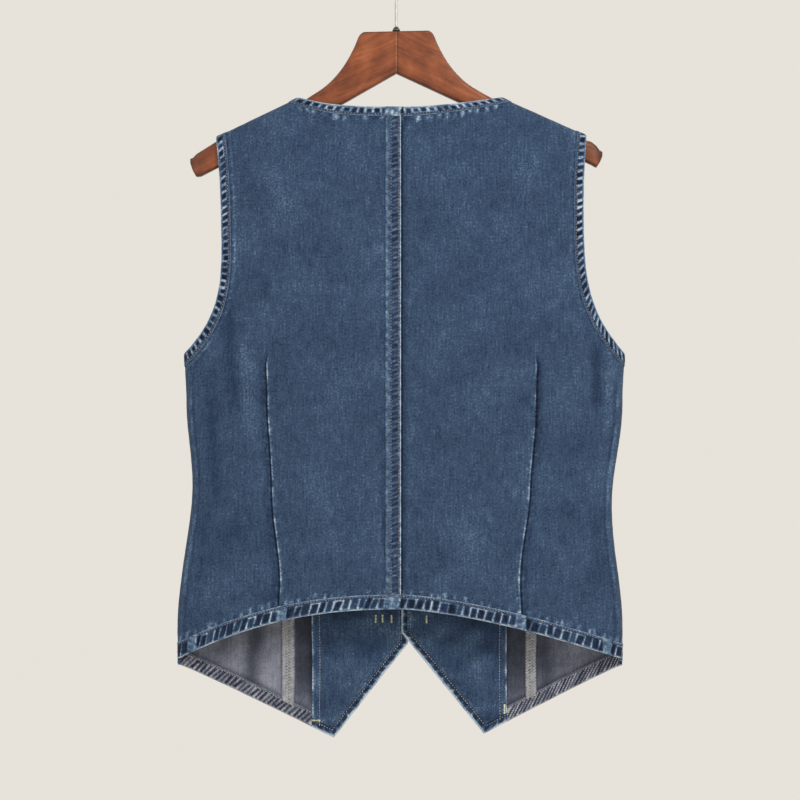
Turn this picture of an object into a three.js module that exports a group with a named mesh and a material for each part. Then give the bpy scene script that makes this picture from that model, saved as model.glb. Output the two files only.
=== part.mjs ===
// A denim waistcoat hanging on a wooden hanger, at its real size in millimetres.
// +Z is up, the back of the waistcoat faces -Y, and the wearer's left side is at -X.
// The origin is the inside top of the hanger's hook, where a rail or a nail holds it.
import * as THREE from "three";

// Cloth
const denim = 1.4; // wall of one layer
const hemWall = 3; // wall of a turned and stitched edge
const seamGap = 0.3; // between neighbouring pieces
const hemBand = { back: 16, front: 15 }; // width of the turned bottom hem
const neckBand = 10.6;
const armBand = 11;
const edgeBand = 9; // width of the stitched front edge

// Outline of the garment, as half widths and heights under the origin
const neckHalf = 109;
const neckTop = -140; // where the neckline meets the shoulder seam
const backNeckLow = -150.6; // the back neckline at its middle
const backNeckPower = { left: 3, right: 1.7 }; // it stays low for longer on the left
const shoulderHalf = { left: 198, right: 200.4 };
const shoulderSlope = { left: 0.465, right: 0.432 };
const armholeHalf = { left: 193.6, right: 195.9 }; // at the armhole's narrowest height
const armholeNarrow = -275;
const armholeFlare = 4.6; // how far the shoulder stands out past the narrowest place
const armholeSweep = { left: 3.5, right: 3.1 }; // how late the armhole turns out to the side
const underarm = -413.5;
const hemSide = -742.5; // the back hem's end at the side seam
const hemCentre = -686.9;
const hemHalf = 238;
const hemPower = { left: 2.3, right: 1.5 }; // the back hem falls later on the left

// Body sections, from the neck down to the front points
const bodyStations = [
  { z: -120, half: 236, back: 10.5, front: 10.5 },
  { z: -280, half: 236, back: 17, front: 17 },
  { z: -417, half: 236.6, back: 26, front: 28 },
  { z: -468, half: 234.6, back: 25, front: 26 },
  { z: -566, half: 225.6, back: 22, front: 22 },
  { z: -710, half: 239, back: 24.5, front: 26 },
  { z: -744, half: 238.2, back: 25, front: 27 },
  { z: -860, half: 241, back: 25, front: 29 },
];
// The chest hangs over to one side, from start and back to the middle at end
const sideSway = { most: 4.8, start: -150, full: -410, hold: -490, end: -640 };
const sectionPower = 3; // a flat middle with rounded sides
const strapClear = 8.6; // half the room that the shoulder straps leave round the hanger
const strapEnd = { high: -240, low: -400 }; // the strap room closes between these heights
const ridgeRadius = 9; // the fold over the hanger

// The two fronts. Heights and widths are on each front's own side of the middle.
const fronts = {
  left: {
    edge: -8.7, corner: -729.3, tip: 72, tipLow: -831.7, hemEnd: -749.8, facing: 95.8, dart: 122, lap: 1,
  },
  right: {
    edge: 1.6, corner: -717, tip: 91.3, tipLow: -827.7, hemEnd: -750.7, facing: 117, dart: 142.5, lap: -1,
  },
};
const vBreak = -385; // where the neckline meets the straight front edge
const neckPower = 1.12; // a V that is very slightly curved
const lapStep = 2.3; // how far each front steps aside where the two cross
const backDart = { line: 0.61, top: -416, bottomLean: 17, leanFrom: -560 };
const frontDartTop = -440;
const dartDepth = 1.1; // how deep the sewn line sinks
const dartTake = 14; // width of the folded cloth behind a front dart

// Largest soft folds: each is a trough or a ridge that runs down the cloth
const folds = [
  { face: -1, x: 207, high: -395, low: -520, width: 9, rise: -2.4 },
  { face: -1, x: -205, high: -395, low: -500, width: 10, rise: -1.8 },
  { face: -1, x: 62, high: -190, low: -430, width: 30, rise: 1.6 },
  { face: -1, x: -70, high: -200, low: -470, width: 34, rise: 1.8 },
  { face: -1, x: 172, high: -520, low: -700, width: 20, rise: 2 },
  { face: -1, x: -178, high: -480, low: -690, width: 22, rise: 1.8 },
  { face: 1, x: -168, high: -600, low: -800, width: 16, rise: 3.2 },
  { face: 1, x: -104, high: -560, low: -830, width: 7, rise: 2.6 },
  { face: 1, x: 176, high: -610, low: -800, width: 18, rise: 2.6 },
  { face: 1, x: 60, high: -470, low: -700, width: 26, rise: 2 },
];

// Hanger and hook
const hangerTop = -68.5;
const hangerHalfThick = 6.5;
const hangerBend = 13; // how far the ends bow towards the wearer's front
const hangerShift = -4; // the hanger's middle lies this far to the left of the garment's
const hangerReach = 222.5;
const hangerTilt = 0.022; // its left end hangs lower
const archPeak = -113.9; // underside at the middle
const archSlope = { left: 0.499, right: 0.46 };
const archSteeper = { left: 0.07, right: 0, until: 55 }; // the underside is steeper near the middle
const hangerEnds = {
  left: { shoulder: -189, top: -195.6, nose: -206, foot: -223.4 },
  right: { shoulder: -182.4, top: -185.5, nose: -198.5, foot: -213.6 },
};
const hookWire = 1.6;
const hookRadius = 16.4; // centre line of the crook
const hookTurn = 6; // the small bend between the shaft and the crook
const ferrule = { radius: 4.2, height: 4 };

// Buttons on the right front
const button = { radius: 8.5, thick: 3.4, stand: 0.6, across: 28.8, high: -404, low: -697.7, count: 5 };

const ease = (t) => {
  const k = Math.min(1, Math.max(0, t));
  return k * k * (3 - 2 * k);
};

const mix = (from, to, share) => from + (to - from) * share;

// A value between two stations of a table, eased so that each station is level
function along(table, key, z) {
  if (z >= table[0].z) return table[0][key];
  for (let i = 1; i < table.length; i++) {
    const above = table[i - 1], below = table[i];
    if (z >= below.z)
      return mix(above[key], below[key], ease((above.z - z) / (above.z - below.z)));
  }
  return table.at(-1)[key];
}

const bodyHalf = (z) => along(bodyStations, "half", z);
const sideName = (x) => (x < 0 ? "left" : "right");

// Height of the shoulder fold above any place across the garment
const ridge = (x) => neckTop - shoulderSlope[sideName(x)] * (Math.abs(x) - neckHalf);

// How far the sides stand over to one side, which leaves the middle of the back straight
const sway = (x, z) => sideSway.most * (x / bodyHalf(z)) ** 2 *
  ease((sideSway.start - z) / (sideSway.start - sideSway.full)) *
  ease((z - sideSway.end) / (sideSway.hold - sideSway.end));

// The whole garment bows with the hanger, less and less towards the hem
const bow = (x, z) => hangerBend * (x / hangerReach) ** 2 * (1 - 0.65 * ease((-250 - z) / 450));

// Square of half the depth between the back and the front. It falls through zero at the side
// seam and over the shoulder fold, which keeps the slope of the cloth defined there.
function depthSquared(face, x, z) {
  const depth = along(bodyStations, face < 0 ? "back" : "front", z);
  const room = strapClear * ease((z - strapEnd.low) / (strapEnd.high - strapEnd.low));
  const across = (Math.abs(x) / bodyHalf(z)) ** sectionPower;
  const section = room ** 2 + (depth ** 2 - room ** 2) * (1 - across);
  const overFold = 1 - Math.max(0, 1 - (ridge(x) - z) / ridgeRadius) ** 2;
  return section * overFold;
}

// Soft folds, and the step aside where the fronts cross
function relief(cloth, x, z) {
  const inside = ease((bodyHalf(z) - Math.abs(x)) / 18);
  let out = 0;
  for (const fold of folds) {
    if (fold.face !== cloth.face) continue;
    const across = Math.exp(-(((x - fold.x) / fold.width) ** 2));
    const down = ease((fold.high - z) / 60) * ease((z - fold.low) / 60);
    out += fold.rise * across * down * inside;
  }
  if (cloth.lap) out += cloth.lap * lapStep * ease((80 - Math.abs(x)) / 65);
  return out;
}

// The middle of the cloth and its outward direction, at a place across and a height
function surface(cloth, x, z) {
  const middle = (px, pz) => bow(px, pz) + cloth.face * relief(cloth, px, pz);
  const half = Math.sqrt(Math.max(0, depthSquared(cloth.face, x, z)));
  const y = cloth.face * Math.max(half, seamGap / 2);
  const level = (px, py, pz) => (py - middle(px, pz)) ** 2 - depthSquared(cloth.face, px, pz);
  const point = new THREE.Vector3(x, middle(x, z) + y, z);
  const step = 0.02;
  const normal = new THREE.Vector3(
    level(x + step, point.y, z) - level(x - step, point.y, z),
    level(x, point.y + step, z) - level(x, point.y - step, z),
    level(x, point.y, z + step) - level(x, point.y, z - step),
  ).normalize();
  point.x += sway(x, z);
  return { point, normal };
}

// A closed wall through a grid of places, from one offset along their normals to another
function wall(grid, low, high, ring = false) {
  const rows = grid.length, cols = grid[0].length;
  const positions = [low, high].flatMap((offset) =>
    grid.flat().flatMap(({ point, normal }) => point.clone().addScaledVector(normal, offset).toArray()));
  const at = (layer, r, c) => (layer * rows + (r % rows)) * cols + c;
  const faces = [];
  const quad = (a, b, c, d) => faces.push(a, b, c, a, c, d);
  const lastRow = ring ? rows : rows - 1, end = cols - 1;
  for (let r = 0; r < lastRow; r++) {
    for (let c = 0; c < end; c++) {
      quad(at(1, r, c), at(1, r, c + 1), at(1, r + 1, c + 1), at(1, r + 1, c));
      quad(at(0, r, c), at(0, r + 1, c), at(0, r + 1, c + 1), at(0, r, c + 1));
    }
    quad(at(0, r + 1, 0), at(0, r, 0), at(1, r, 0), at(1, r + 1, 0));
    quad(at(0, r, end), at(0, r + 1, end), at(1, r + 1, end), at(1, r, end));
  }
  for (let c = 0; c < end && !ring; c++) {
    quad(at(0, 0, c), at(0, 0, c + 1), at(1, 0, c + 1), at(1, 0, c));
    quad(at(0, lastRow, c + 1), at(0, lastRow, c), at(1, lastRow, c), at(1, lastRow, c + 1));
  }
  return facingOut(positions, faces);
}

// A geometry from points and triangles, turned round if it came out inside out
function facingOut(positions, faces) {
  const corner = (i) => new THREE.Vector3().fromArray(positions, 3 * i);
  let volume = 0;
  for (let i = 0; i < faces.length; i += 3)
    volume += corner(faces[i]).dot(corner(faces[i + 1]).cross(corner(faces[i + 2])));
  if (volume < 0)
    for (let i = 0; i < faces.length; i += 3)
      [faces[i + 1], faces[i + 2]] = [faces[i + 2], faces[i + 1]];
  const geometry = new THREE.BufferGeometry();
  geometry.setAttribute("position", new THREE.Float32BufferAttribute(positions, 3));
  geometry.setIndex(faces);
  geometry.computeVertexNormals();
  return geometry;
}

// Edge curves. Each takes how far inside the cut edge it lies.
const sideHeight = (inset) => underarm - 1.4 * inset; // the band meets the side seam aslant
function armholeHalfAt(word, z, inset) {
  const base = armholeHalf[word] - inset, low = sideHeight(inset);
  if (z >= armholeNarrow)
    return base + armholeFlare * Math.min(1, (z - armholeNarrow) / (-181 - armholeNarrow)) ** 2;
  const down = (armholeNarrow - z) / (armholeNarrow - low);
  return base + (bodyHalf(low) - base) * down ** (armholeSweep[word] - 0.01 * inset);
}
const backNeck = (x, inset) => {
  const reach = neckHalf + inset, share = Math.abs(x) / reach;
  return mix(backNeckLow - inset, ridge(Math.sign(x || 1) * reach), share ** backNeckPower[sideName(x)]);
};
const backHem = (x, inset) => {
  const fall = hemCentre - hemSide, power = hemPower[sideName(x)], share = Math.abs(x) / hemHalf;
  const slope = (power * fall * share ** (power - 1)) / hemHalf;
  return hemCentre - fall * share ** power + inset * Math.hypot(1, slope);
};
// The V neckline of a front: a place across and its height, for t from the break to the shoulder
function frontNeck(front, t, inset) {
  const low = vBreak - 0.217 * inset, top = ridge(front.side * (neckHalf + inset));
  return { u: front.edge + inset + (neckHalf - front.edge) * t, z: low + (top - low) * t ** neckPower };
}
const frontNeckHeight = (front, u, inset) =>
  frontNeck(front, Math.max(0, (u - front.edge - inset) / (neckHalf - front.edge)), inset).z;
const slantSlope = (front) => (front.corner - front.tipLow) / (front.tip - front.edge);
const hemSlope = (front) => (front.hemEnd - front.tipLow) / (hemHalf - front.tip);
const slant = (front, u, inset) =>
  front.tipLow + slantSlope(front) * (front.tip - u) + inset * Math.hypot(1, slantSlope(front));
const frontHem = (front, u, inset) =>
  front.tipLow + hemSlope(front) * (u - front.tip) + inset * Math.hypot(1, hemSlope(front));
// Across the front, the place where the slant and the hem meet at an inset
const tipAcross = (front, inset) =>
  front.tip + (inset * (Math.hypot(1, slantSlope(front)) - Math.hypot(1, hemSlope(front)))) /
    (slantSlope(front) + hemSlope(front));

// Heights of the rows that an armhole edge and its panel share, from the underarm up
const armRows = [1, 0.985, 0.955, 0.91, 0.85, 0.76, 0.64, 0.5, 0.34, 0.17, 0];
// Drops below the shoulder line that round its fold
const shoulderTurn = [90, 60, 32, 12, 0].map((deg) => ridgeRadius * (1 - Math.cos((deg * Math.PI) / 180)));
function armHeights(side, inset) {
  const low = sideHeight(inset), top = ridge(side * (shoulderHalf[sideName(side)] - inset));
  const bottom = armRows.map((r) => armholeNarrow - r * (armholeNarrow - low));
  const upper = [0.33, 0.67].map((f) => armholeNarrow + f * (top - armholeNarrow));
  return [...bottom, ...upper, ...shoulderTurn.map((drop) => top - drop)];
}

// Solves a height that depends on the place across, which itself changes with the height
function settle(height, across, start) {
  let z = start;
  for (let i = 0; i < 40; i++) z = height(across(z));
  return z;
}

// How far across a panel goes at the shoulder
const panelReach = (side) => {
  const word = sideName(side);
  return armholeHalfAt(word, ridge(side * shoulderHalf[word]), armBand + seamGap);
};
const torsoRows = 8; // rows of a panel between its hem and the underarm

// A panel's columns run from its bottom edge to its top edge. Each lies at a share s of the way from
// the panel's start to the armhole or side seam, and its rows at shares of its own height.
const panelInset = armBand + seamGap;
const panelEnd = (word, z) => (z > sideHeight(panelInset) ? armholeHalfAt(word, z, panelInset) : bodyHalf(z));
const columnAt = ({ side, start, shift }, s) => (z) =>
  start + (panelEnd(sideName(side), z) - start) * s - shift(z) * Math.sin(Math.PI * s);

// The rows' shares, set so that the last column meets the armhole band's own rows
function rowShares(shape) {
  const last = columnAt(shape, 1);
  const low = settle(shape.bottom, last, hemSide), high = settle(shape.top, last, -180);
  const under = sideHeight(panelInset);
  const torso = Array.from({ length: torsoRows }, (_, i) => low + (i / torsoRows) * (under - low));
  return [...torso, ...armHeights(shape.side, panelInset)]
    .map((z) => Math.min(1, (z - low) / (high - low)));
}

function panelGrid(cloth, shape, columns) {
  return rowShares(shape).map((share) => columns.map(({ s, sink = 0 }) => {
    const across = columnAt(shape, s);
    const low = settle(shape.bottom, across, hemSide), high = settle(shape.top, across, -180);
    const z = low + share * (high - low);
    const place = surface(cloth, shape.side * across(z), z);
    place.point.addScaledVector(place.normal, -sink * ease((shape.dartTop - z) / 40));
    return place;
  }));
}

// A strip between two lists of places across and heights
const strip = (cloth, inner, outer) =>
  inner.map((place, i) => [place, outer[i]].map(({ u, z }) => surface(cloth, cloth.side * u, z)));

const materials = {
  denim: new THREE.MeshStandardMaterial({ color: 0x3e4f68, roughness: 0.92 }),
  hem: new THREE.MeshStandardMaterial({ color: 0x4d6079, roughness: 0.92 }),
  reverse: new THREE.MeshStandardMaterial({ color: 0x6f7682, roughness: 0.95 }),
  wood: new THREE.MeshStandardMaterial({ color: 0x8f5336, roughness: 0.45 }),
  steel: new THREE.MeshStandardMaterial({ color: 0xb9b9b6, roughness: 0.3, metalness: 1 }),
  brass: new THREE.MeshStandardMaterial({ color: 0x9a7b4a, roughness: 0.4, metalness: 1 }),
};
const vest = new THREE.Group();
function add(name, geometry, material) {
  const mesh = new THREE.Mesh(geometry, material);
  mesh.name = name;
  vest.add(mesh);
  return mesh;
}
const addPanel = (name, grid) => add(name, wall(grid, -denim / 2, denim / 2), materials.denim);
const addEdge = (name, grid, ring) =>
  add(name, wall(grid, -hemWall / 2, hemWall / 2, ring), materials.hem);

// Back: two panels, the lapped seam between them, the neck band and the hem
const backStart = seamGap / 2;
const backTop = (side) => (u) =>
  u < neckHalf + neckBand + seamGap ? backNeck(side * u, neckBand + seamGap) : ridge(side * u);
// Places along the neckline as shares of it, closer where it climbs over the shoulder fold
const neckShares = [0, 0.25, 0.5, 0.7, 0.83, 0.91, 0.96, 0.99, 1];

const backShape = (side) => ({
  side,
  start: backStart,
  shift: (z) => backDart.bottomLean * ease((backDart.leanFrom - z) / 110),
  top: backTop(side),
  bottom: (u) => backHem(side * u, hemBand.back + seamGap),
  dartTop: backDart.top,
});
const sideShares = [0.69, 0.76, 0.83, 0.89, 0.94, 0.975, 0.992, 1]; // closer where the cloth turns
function buildBack(name, side) {
  const neckEnd = neckHalf + neckBand + seamGap;
  const toReach = 1 / (panelReach(side) - backStart);
  const neckColumns = neckShares.map((share) => ({ s: Math.max(0, share * neckEnd - backStart) * toReach }));
  const dartColumns = [-0.017, 0, 0.017]
    .map((off) => ({ s: backDart.line + off, sink: off ? 0 : dartDepth }));
  const columns = [...neckColumns, ...dartColumns, ...sideShares.map((s) => ({ s }))]
    .sort((a, b) => a.s - b.s);
  const grid = panelGrid({ face: -1, side }, backShape(side), columns);
  addPanel(`back_${name}`, grid);
}
buildBack("left", -1);
buildBack("right", 1);

// Neck band: one piece across the back of the neck
const neckSections = (inset) => [-1, 1].flatMap((side) => {
  const end = neckHalf + inset;
  const places = [0, 0.1, ...neckShares.slice(1)].map((share) => {
    const u = share * end;
    return { u: side * u, z: share === 1 ? ridge(side * u) : backNeck(side * u, inset) };
  });
  return side < 0 ? places.reverse() : places.slice(1);
});
const backCloth = { face: -1, side: 1 };
addEdge("back_neck_band", strip(backCloth, neckSections(neckBand), neckSections(0)));

// Back hem: from side seam to side seam
const hemShares = [0, 0.1, 0.2, 0.3, 0.4, 0.5, 0.6, ...sideShares];
const hemSections = (inset) => [-1, 1].flatMap((side) => {
  const places = hemShares.map((share) => {
    const across = (z) => bodyHalf(z) * share;
    const z = settle((u) => backHem(side * u, inset), across, hemSide);
    return { u: side * across(z), z };
  });
  return side < 0 ? places.reverse() : places.slice(1);
});
addEdge("back_hem", strip(backCloth, hemSections(hemBand.back), hemSections(0)));

// Lapped seam down the middle of the back, lying on the left panel
const lapSeam = { right: 0.9, left: -15.4, wall: 1.1, columns: 5 };
const seamGrid = rowShares(backShape(-1)).map((share) => Array.from({ length: lapSeam.columns }, (_, i) => {
  const x = lapSeam.right + (i / (lapSeam.columns - 1)) * (lapSeam.left - lapSeam.right);
  const low = backHem(x, hemBand.back + seamGap), high = backNeck(x, neckBand + seamGap);
  return surface(backCloth, x, low + share * (high - low));
}));
const seamLow = denim / 2 + seamGap;
add("centre_back_seam", wall(seamGrid, seamLow, seamLow + lapSeam.wall), materials.hem);

// Fronts: a panel, a stitched edge round the V and the point, a hem, a facing and a folded dart
function buildFront(name, side) {
  const front = { ...fronts[name], side };
  const cloth = { face: 1, side, lap: front.lap };
  const edgeInset = edgeBand + seamGap, hemInset = hemBand.front + seamGap;
  const start = front.edge + edgeInset;
  const neckEnd = neckHalf + edgeInset;
  const top = (u) => (u < neckEnd ? frontNeckHeight(front, u, edgeInset) : ridge(side * u));
  const bottom = (u) => Math.max(slant(front, u, edgeInset),
    frontHem(front, u, u < front.facing ? edgeInset : hemInset));
  const atHem = (u) => (u - start) / (bodyHalf(bottom(u)) - start);
  const tipColumn = { s: atHem(tipAcross(front, edgeInset)) };
  const facingColumns = [front.facing - 0.5, front.facing + 0.5].map((u) => ({ s: atHem(u) }));
  const dartColumns = [-dartTake / 2, 0, dartTake / 2]
    .map((off) => ({ s: atHem(front.dart + off), sink: off ? 0 : dartDepth }));
  // The V climbs about 2.5 mm for each mm across, so these columns round its end over the fold
  const neckColumns = shoulderTurn.map((drop) => ({
    s: (neckEnd - drop / 2.5 - start) / (panelReach(side) - start),
  }));
  const plain = [0, 0.06, 0.13, 0.2, 0.28, ...sideShares].map((s) => ({ s }));
  const columns = [...plain, tipColumn, ...facingColumns, ...dartColumns, ...neckColumns]
    .sort((a, b) => a.s - b.s);
  const shape = { side, start, shift: () => 0, top, bottom, dartTop: frontDartTop };
  const grid = panelGrid(cloth, shape, columns);
  addPanel(`front_${name}`, grid);

  // The facing and the dart's fold lie inside the panel, made from its own points
  const facingEnd = columns.indexOf(facingColumns[0]);
  const under = -denim / 2 - seamGap;
  const facingGrid = grid.map((row) => row.slice(0, facingEnd + 1));
  add(`facing_${name}`, wall(facingGrid, under - denim, under), materials.denim);
  const [dartFirst, dartMiddle, dartLast] = dartColumns.map((column) => columns.indexOf(column));
  const dartGrid = grid.filter((row) => row[dartMiddle].point.z < frontDartTop)
    .map((row) => row.slice(dartFirst, dartLast + 1));
  add(`front_dart_${name}`, wall(dartGrid, under - denim, under), materials.reverse);

  // Stitched edge: down the V, down the front edge, round the point to the facing's end
  const neckLength = ridge(side * neckHalf) - vBreak;
  const neckAt = [0, 0.08, 0.2, 0.35, 0.5, 0.65, 0.8, 0.91,
    ...shoulderTurn.map((drop) => (1 - drop / neckLength) ** (1 / neckPower))].reverse();
  const edgePath = (inset) => {
    const across = front.edge + inset;
    const slantEnd = tipAcross(front, inset);
    const down = [0.34, 0.67].map((f) => ({ u: across, z: vBreak + f * (front.corner - vBreak) }));
    const slanted = [0, 0.33, 0.67, 1].map((f) => across + f * (slantEnd - across));
    const last = front.facing - seamGap;
    return [
      ...neckAt.map((t) => frontNeck(front, t, inset)),
      ...down,
      ...slanted.map((u) => ({ u, z: slant(front, u, inset) })),
      ...[(slantEnd + last) / 2, last].map((u) => ({ u, z: frontHem(front, u, inset) })),
    ];
  };
  addEdge(`front_edge_${name}`, strip(cloth, edgePath(edgeBand), edgePath(0)));

  // Bottom hem from the facing to the side seam
  const hemFrom = front.facing + 0.8;
  const hemPath = (inset) => [0, 0.15, 0.3, 0.45, 0.6, 0.74, 0.85, 0.93, 0.97, 0.99, 1].map((f) => {
    const across = (z) => hemFrom + f * (bodyHalf(z) - hemFrom);
    const z = settle((u) => frontHem(front, u, inset), across, hemSide);
    return { u: across(z), z };
  });
  addEdge(`front_hem_${name}`, strip(cloth, hemPath(hemBand.front), hemPath(0)));

  // Armhole band: one closed ring over the shoulder and round under the arm
  const backSheet = { face: -1, side };
  const ringPath = (inset) => armHeights(side, inset).map((z) => ({ u: armholeHalfAt(name, z, inset), z }));
  const backHalfRing = strip(backSheet, ringPath(armBand), ringPath(0));
  const frontHalfRing = strip({ face: 1, side }, ringPath(armBand), ringPath(0)).reverse();
  addEdge(`armhole_band_${name}`, [...backHalfRing, ...frontHalfRing], true);
}
buildFront("left", -1);
buildFront("right", 1);

// Buttons: plain domed discs that stand on the right front
function buttonProfile() {
  const rim = 1.2, dome = 0.7;
  return [
    [0, 0],
    [button.radius - 1, 0],
    [button.radius, rim],
    [button.radius, button.thick - rim],
    [button.radius - 1.4, button.thick],
    [button.radius * 0.6, button.thick - dome],
    [0, button.thick - dome],
  ].map(([r, y]) => new THREE.Vector2(r, y));
}
const buttonCloth = { face: 1, side: 1, lap: fronts.right.lap };
for (let i = 0; i < button.count; i++) {
  const z = button.high + (i / (button.count - 1)) * (button.low - button.high);
  const seat = surface(buttonCloth, button.across, z);
  const mesh = add(`button_${i + 1}`, new THREE.LatheGeometry(buttonProfile(), 16), materials.brass);
  mesh.position.copy(seat.point).addScaledVector(seat.normal, denim / 2 + button.stand);
  mesh.quaternion.setFromUnitVectors(new THREE.Vector3(0, 1, 0), seat.normal);
}

// Hanger: each arm is a loft of upright sections, from the middle joint out to a bevelled end.
// out is measured from the hanger's middle.
const armStations = [
  { out: 0.15, top: hangerTop },
  { out: 20, top: hangerTop },
  { out: 34, top: hangerTop },
  { out: 39, top: -71.5 },
  { out: 45, top: -84.5 },
  { out: 54, top: -101 },
  { out: 64.5, top: -114.5 },
  { out: 77, top: -126 },
  { out: 91, top: -135 },
  { out: 102, top: -141.4 },
];
const clothUnder = hemWall / 2 + seamGap + 0.1; // the bands rest on the hanger just above its top
const neckStep = { out: 111, below: 4.6 }; // the arm dips where the thick neck edges cross it
function armSections(name, side) {
  const end = hangerEnds[name];
  const under = (out) =>
    archPeak - archSlope[name] * out - archSteeper[name] * Math.min(out, archSteeper.until);
  const lineAt = (out, below) => ridge(hangerShift + side * out) - below;
  const free = armStations.map(({ out, top }) => ({ out, top: top + side * hangerTilt * out }));
  const seated = [124, 140, 160, 180].map((out) => ({ out, top: lineAt(out, clothUnder) }));
  const tip = [
    { out: 200, top: end.shoulder },
    { out: 211, top: end.top },
    { out: 216, top: mix(end.top, end.nose, 0.3), bottom: end.foot, thick: 0.95 },
    { out: 220, top: mix(end.top, end.nose, 0.7), bottom: mix(end.foot, end.nose, 0.4), thick: 0.8 },
    { out: hangerReach, top: end.nose + 2.5, bottom: end.nose - 3, thick: 0.5 },
  ];
  const dip = { out: neckStep.out, top: lineAt(neckStep.out, neckStep.below) };
  const stations = [...free, dip, ...seated, ...tip];
  return stations.map(({ out, top, thick = 1, bottom = under(out) }) => {
    const half = hangerHalfThick * thick;
    const squarer = out < 60; // the middle is a flat board, and the arms are round
    const topRound = Math.min(hangerHalfThick, (top - bottom) / 2) * (squarer ? 0.45 : 0.95);
    const footRound = Math.min(4, (top - bottom) / 3);
    const bulge = (cos, power) => half * Math.sign(cos) * Math.abs(cos) ** power;
    const crown = Array.from({ length: 7 }, (_, i) => (i / 6) * Math.PI)
      .map((a) => [bulge(Math.cos(a), squarer ? 0.5 : 1), top - topRound * (1 - Math.sin(a))]);
    const foot = Array.from({ length: 5 }, (_, i) => (1 + i / 4) * Math.PI)
      .map((a) => [bulge(Math.cos(a), 0.6), bottom + footRound * (1 + Math.sin(a))]);
    const x = hangerShift + side * out;
    return [...crown, ...foot].map(([y, z]) => new THREE.Vector3(x, y + bow(x, -150), z));
  });
}
// A closed solid through rings of points, with a fan at each end
function loft(sections) {
  const n = sections[0].length, positions = sections.flat().flatMap((p) => p.toArray());
  const faces = [];
  for (let s = 0; s + 1 < sections.length; s++)
    for (let i = 0; i < n; i++) {
      const a = s * n + i, b = s * n + ((i + 1) % n);
      faces.push(a, b, b + n, a, b + n, a + n);
    }
  const lastRing = (sections.length - 1) * n;
  for (let i = 1; i + 1 < n; i++) faces.push(0, i + 1, i, lastRing, lastRing + i, lastRing + i + 1);
  return facingOut(positions, faces);
}
add("hanger_arm_left", loft(armSections("left", -1)), materials.wood);
add("hanger_arm_right", loft(armSections("right", 1)), materials.wood);

// Ferrule at the foot of the hook, and the hook: a shaft, a small turn and a crook round the rail
const ferruleFoot = hangerTop + seamGap;
const ferruleProfile = [[0, 0], [ferrule.radius, 0], [ferrule.radius, ferrule.height - 1],
  [ferrule.radius - 1, ferrule.height], [0, ferrule.height]].map(([r, y]) => new THREE.Vector2(r, y));
const ferruleMesh = add("hook_ferrule", new THREE.LatheGeometry(ferruleProfile, 20), materials.steel);
ferruleMesh.rotation.x = Math.PI / 2;
ferruleMesh.position.set(hangerShift, 0, ferruleFoot);

class HookLine extends THREE.Curve {
  constructor() {
    super();
    this.crook = -(hookRadius - hookWire); // height of the crook's centre
    this.meet = -Math.acos(hookTurn / (hookRadius + hookTurn)); // where the turn joins the crook
    this.shaftTop = this.crook + (hookRadius + hookTurn) * Math.sin(this.meet);
    this.foot = ferruleFoot + ferrule.height + seamGap;
    this.sweep = (200 * Math.PI) / 180 - this.meet;
    this.lengths = [this.shaftTop - this.foot, -this.meet * hookTurn, this.sweep * hookRadius];
    this.total = this.lengths.reduce((sum, length) => sum + length, 0);
  }
  getPoint(t, target = new THREE.Vector3()) {
    let run = t * this.total;
    if (run < this.lengths[0]) return target.set(0, 0, this.foot + run);
    run -= this.lengths[0];
    if (run < this.lengths[1]) {
      const a = run / hookTurn;
      return target.set(hookTurn * (1 - Math.cos(a)), 0, this.shaftTop + hookTurn * Math.sin(a));
    }
    const a = this.meet + (run - this.lengths[1]) / hookRadius;
    return target.set(hookRadius * Math.cos(a), 0, this.crook + hookRadius * Math.sin(a));
  }
}
const wireSection = new THREE.Shape().absarc(0, 0, hookWire, 0, 2 * Math.PI);
const hookMesh = add("hanger_hook", new THREE.ExtrudeGeometry(wireSection,
  { extrudePath: new HookLine(), steps: 40, curveSegments: 4, bevelEnabled: false }), materials.steel);
hookMesh.position.x = hangerShift;

// The garment is modelled about its own middle; here the hook comes to the origin
vest.position.x = -hangerShift;
const group = new THREE.Group();
group.add(vest);
export default group;
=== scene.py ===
# Denim waistcoat on a wooden hanger, dressed over the CAD frame.
# The cloth is worked out in millimetres about the garment's own middle, and moved into the frame
# when a mesh is made. The back faces -Y, and the wearer's left is at -X.
import math
import bpy
import numpy as np
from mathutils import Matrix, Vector
from mathutils.bvhtree import BVHTree


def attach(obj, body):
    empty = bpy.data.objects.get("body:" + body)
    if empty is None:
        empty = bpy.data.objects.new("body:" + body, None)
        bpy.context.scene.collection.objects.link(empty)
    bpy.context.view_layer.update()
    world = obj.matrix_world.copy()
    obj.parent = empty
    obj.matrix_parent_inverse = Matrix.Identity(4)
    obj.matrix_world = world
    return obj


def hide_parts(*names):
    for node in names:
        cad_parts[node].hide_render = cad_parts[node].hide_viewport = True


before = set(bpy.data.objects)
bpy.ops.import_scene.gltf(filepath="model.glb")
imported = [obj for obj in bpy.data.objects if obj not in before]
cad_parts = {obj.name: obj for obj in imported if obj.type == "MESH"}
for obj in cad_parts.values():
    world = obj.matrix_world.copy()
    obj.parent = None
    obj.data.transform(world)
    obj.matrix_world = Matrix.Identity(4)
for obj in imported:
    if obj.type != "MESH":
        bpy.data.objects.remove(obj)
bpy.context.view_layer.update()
print("frame loaded:", len(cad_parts), "CAD nodes")

mm = 0.001
garmentShift = 4.0  # the garment's middle lies this far to +X of the hook

# Camera and studio

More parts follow.
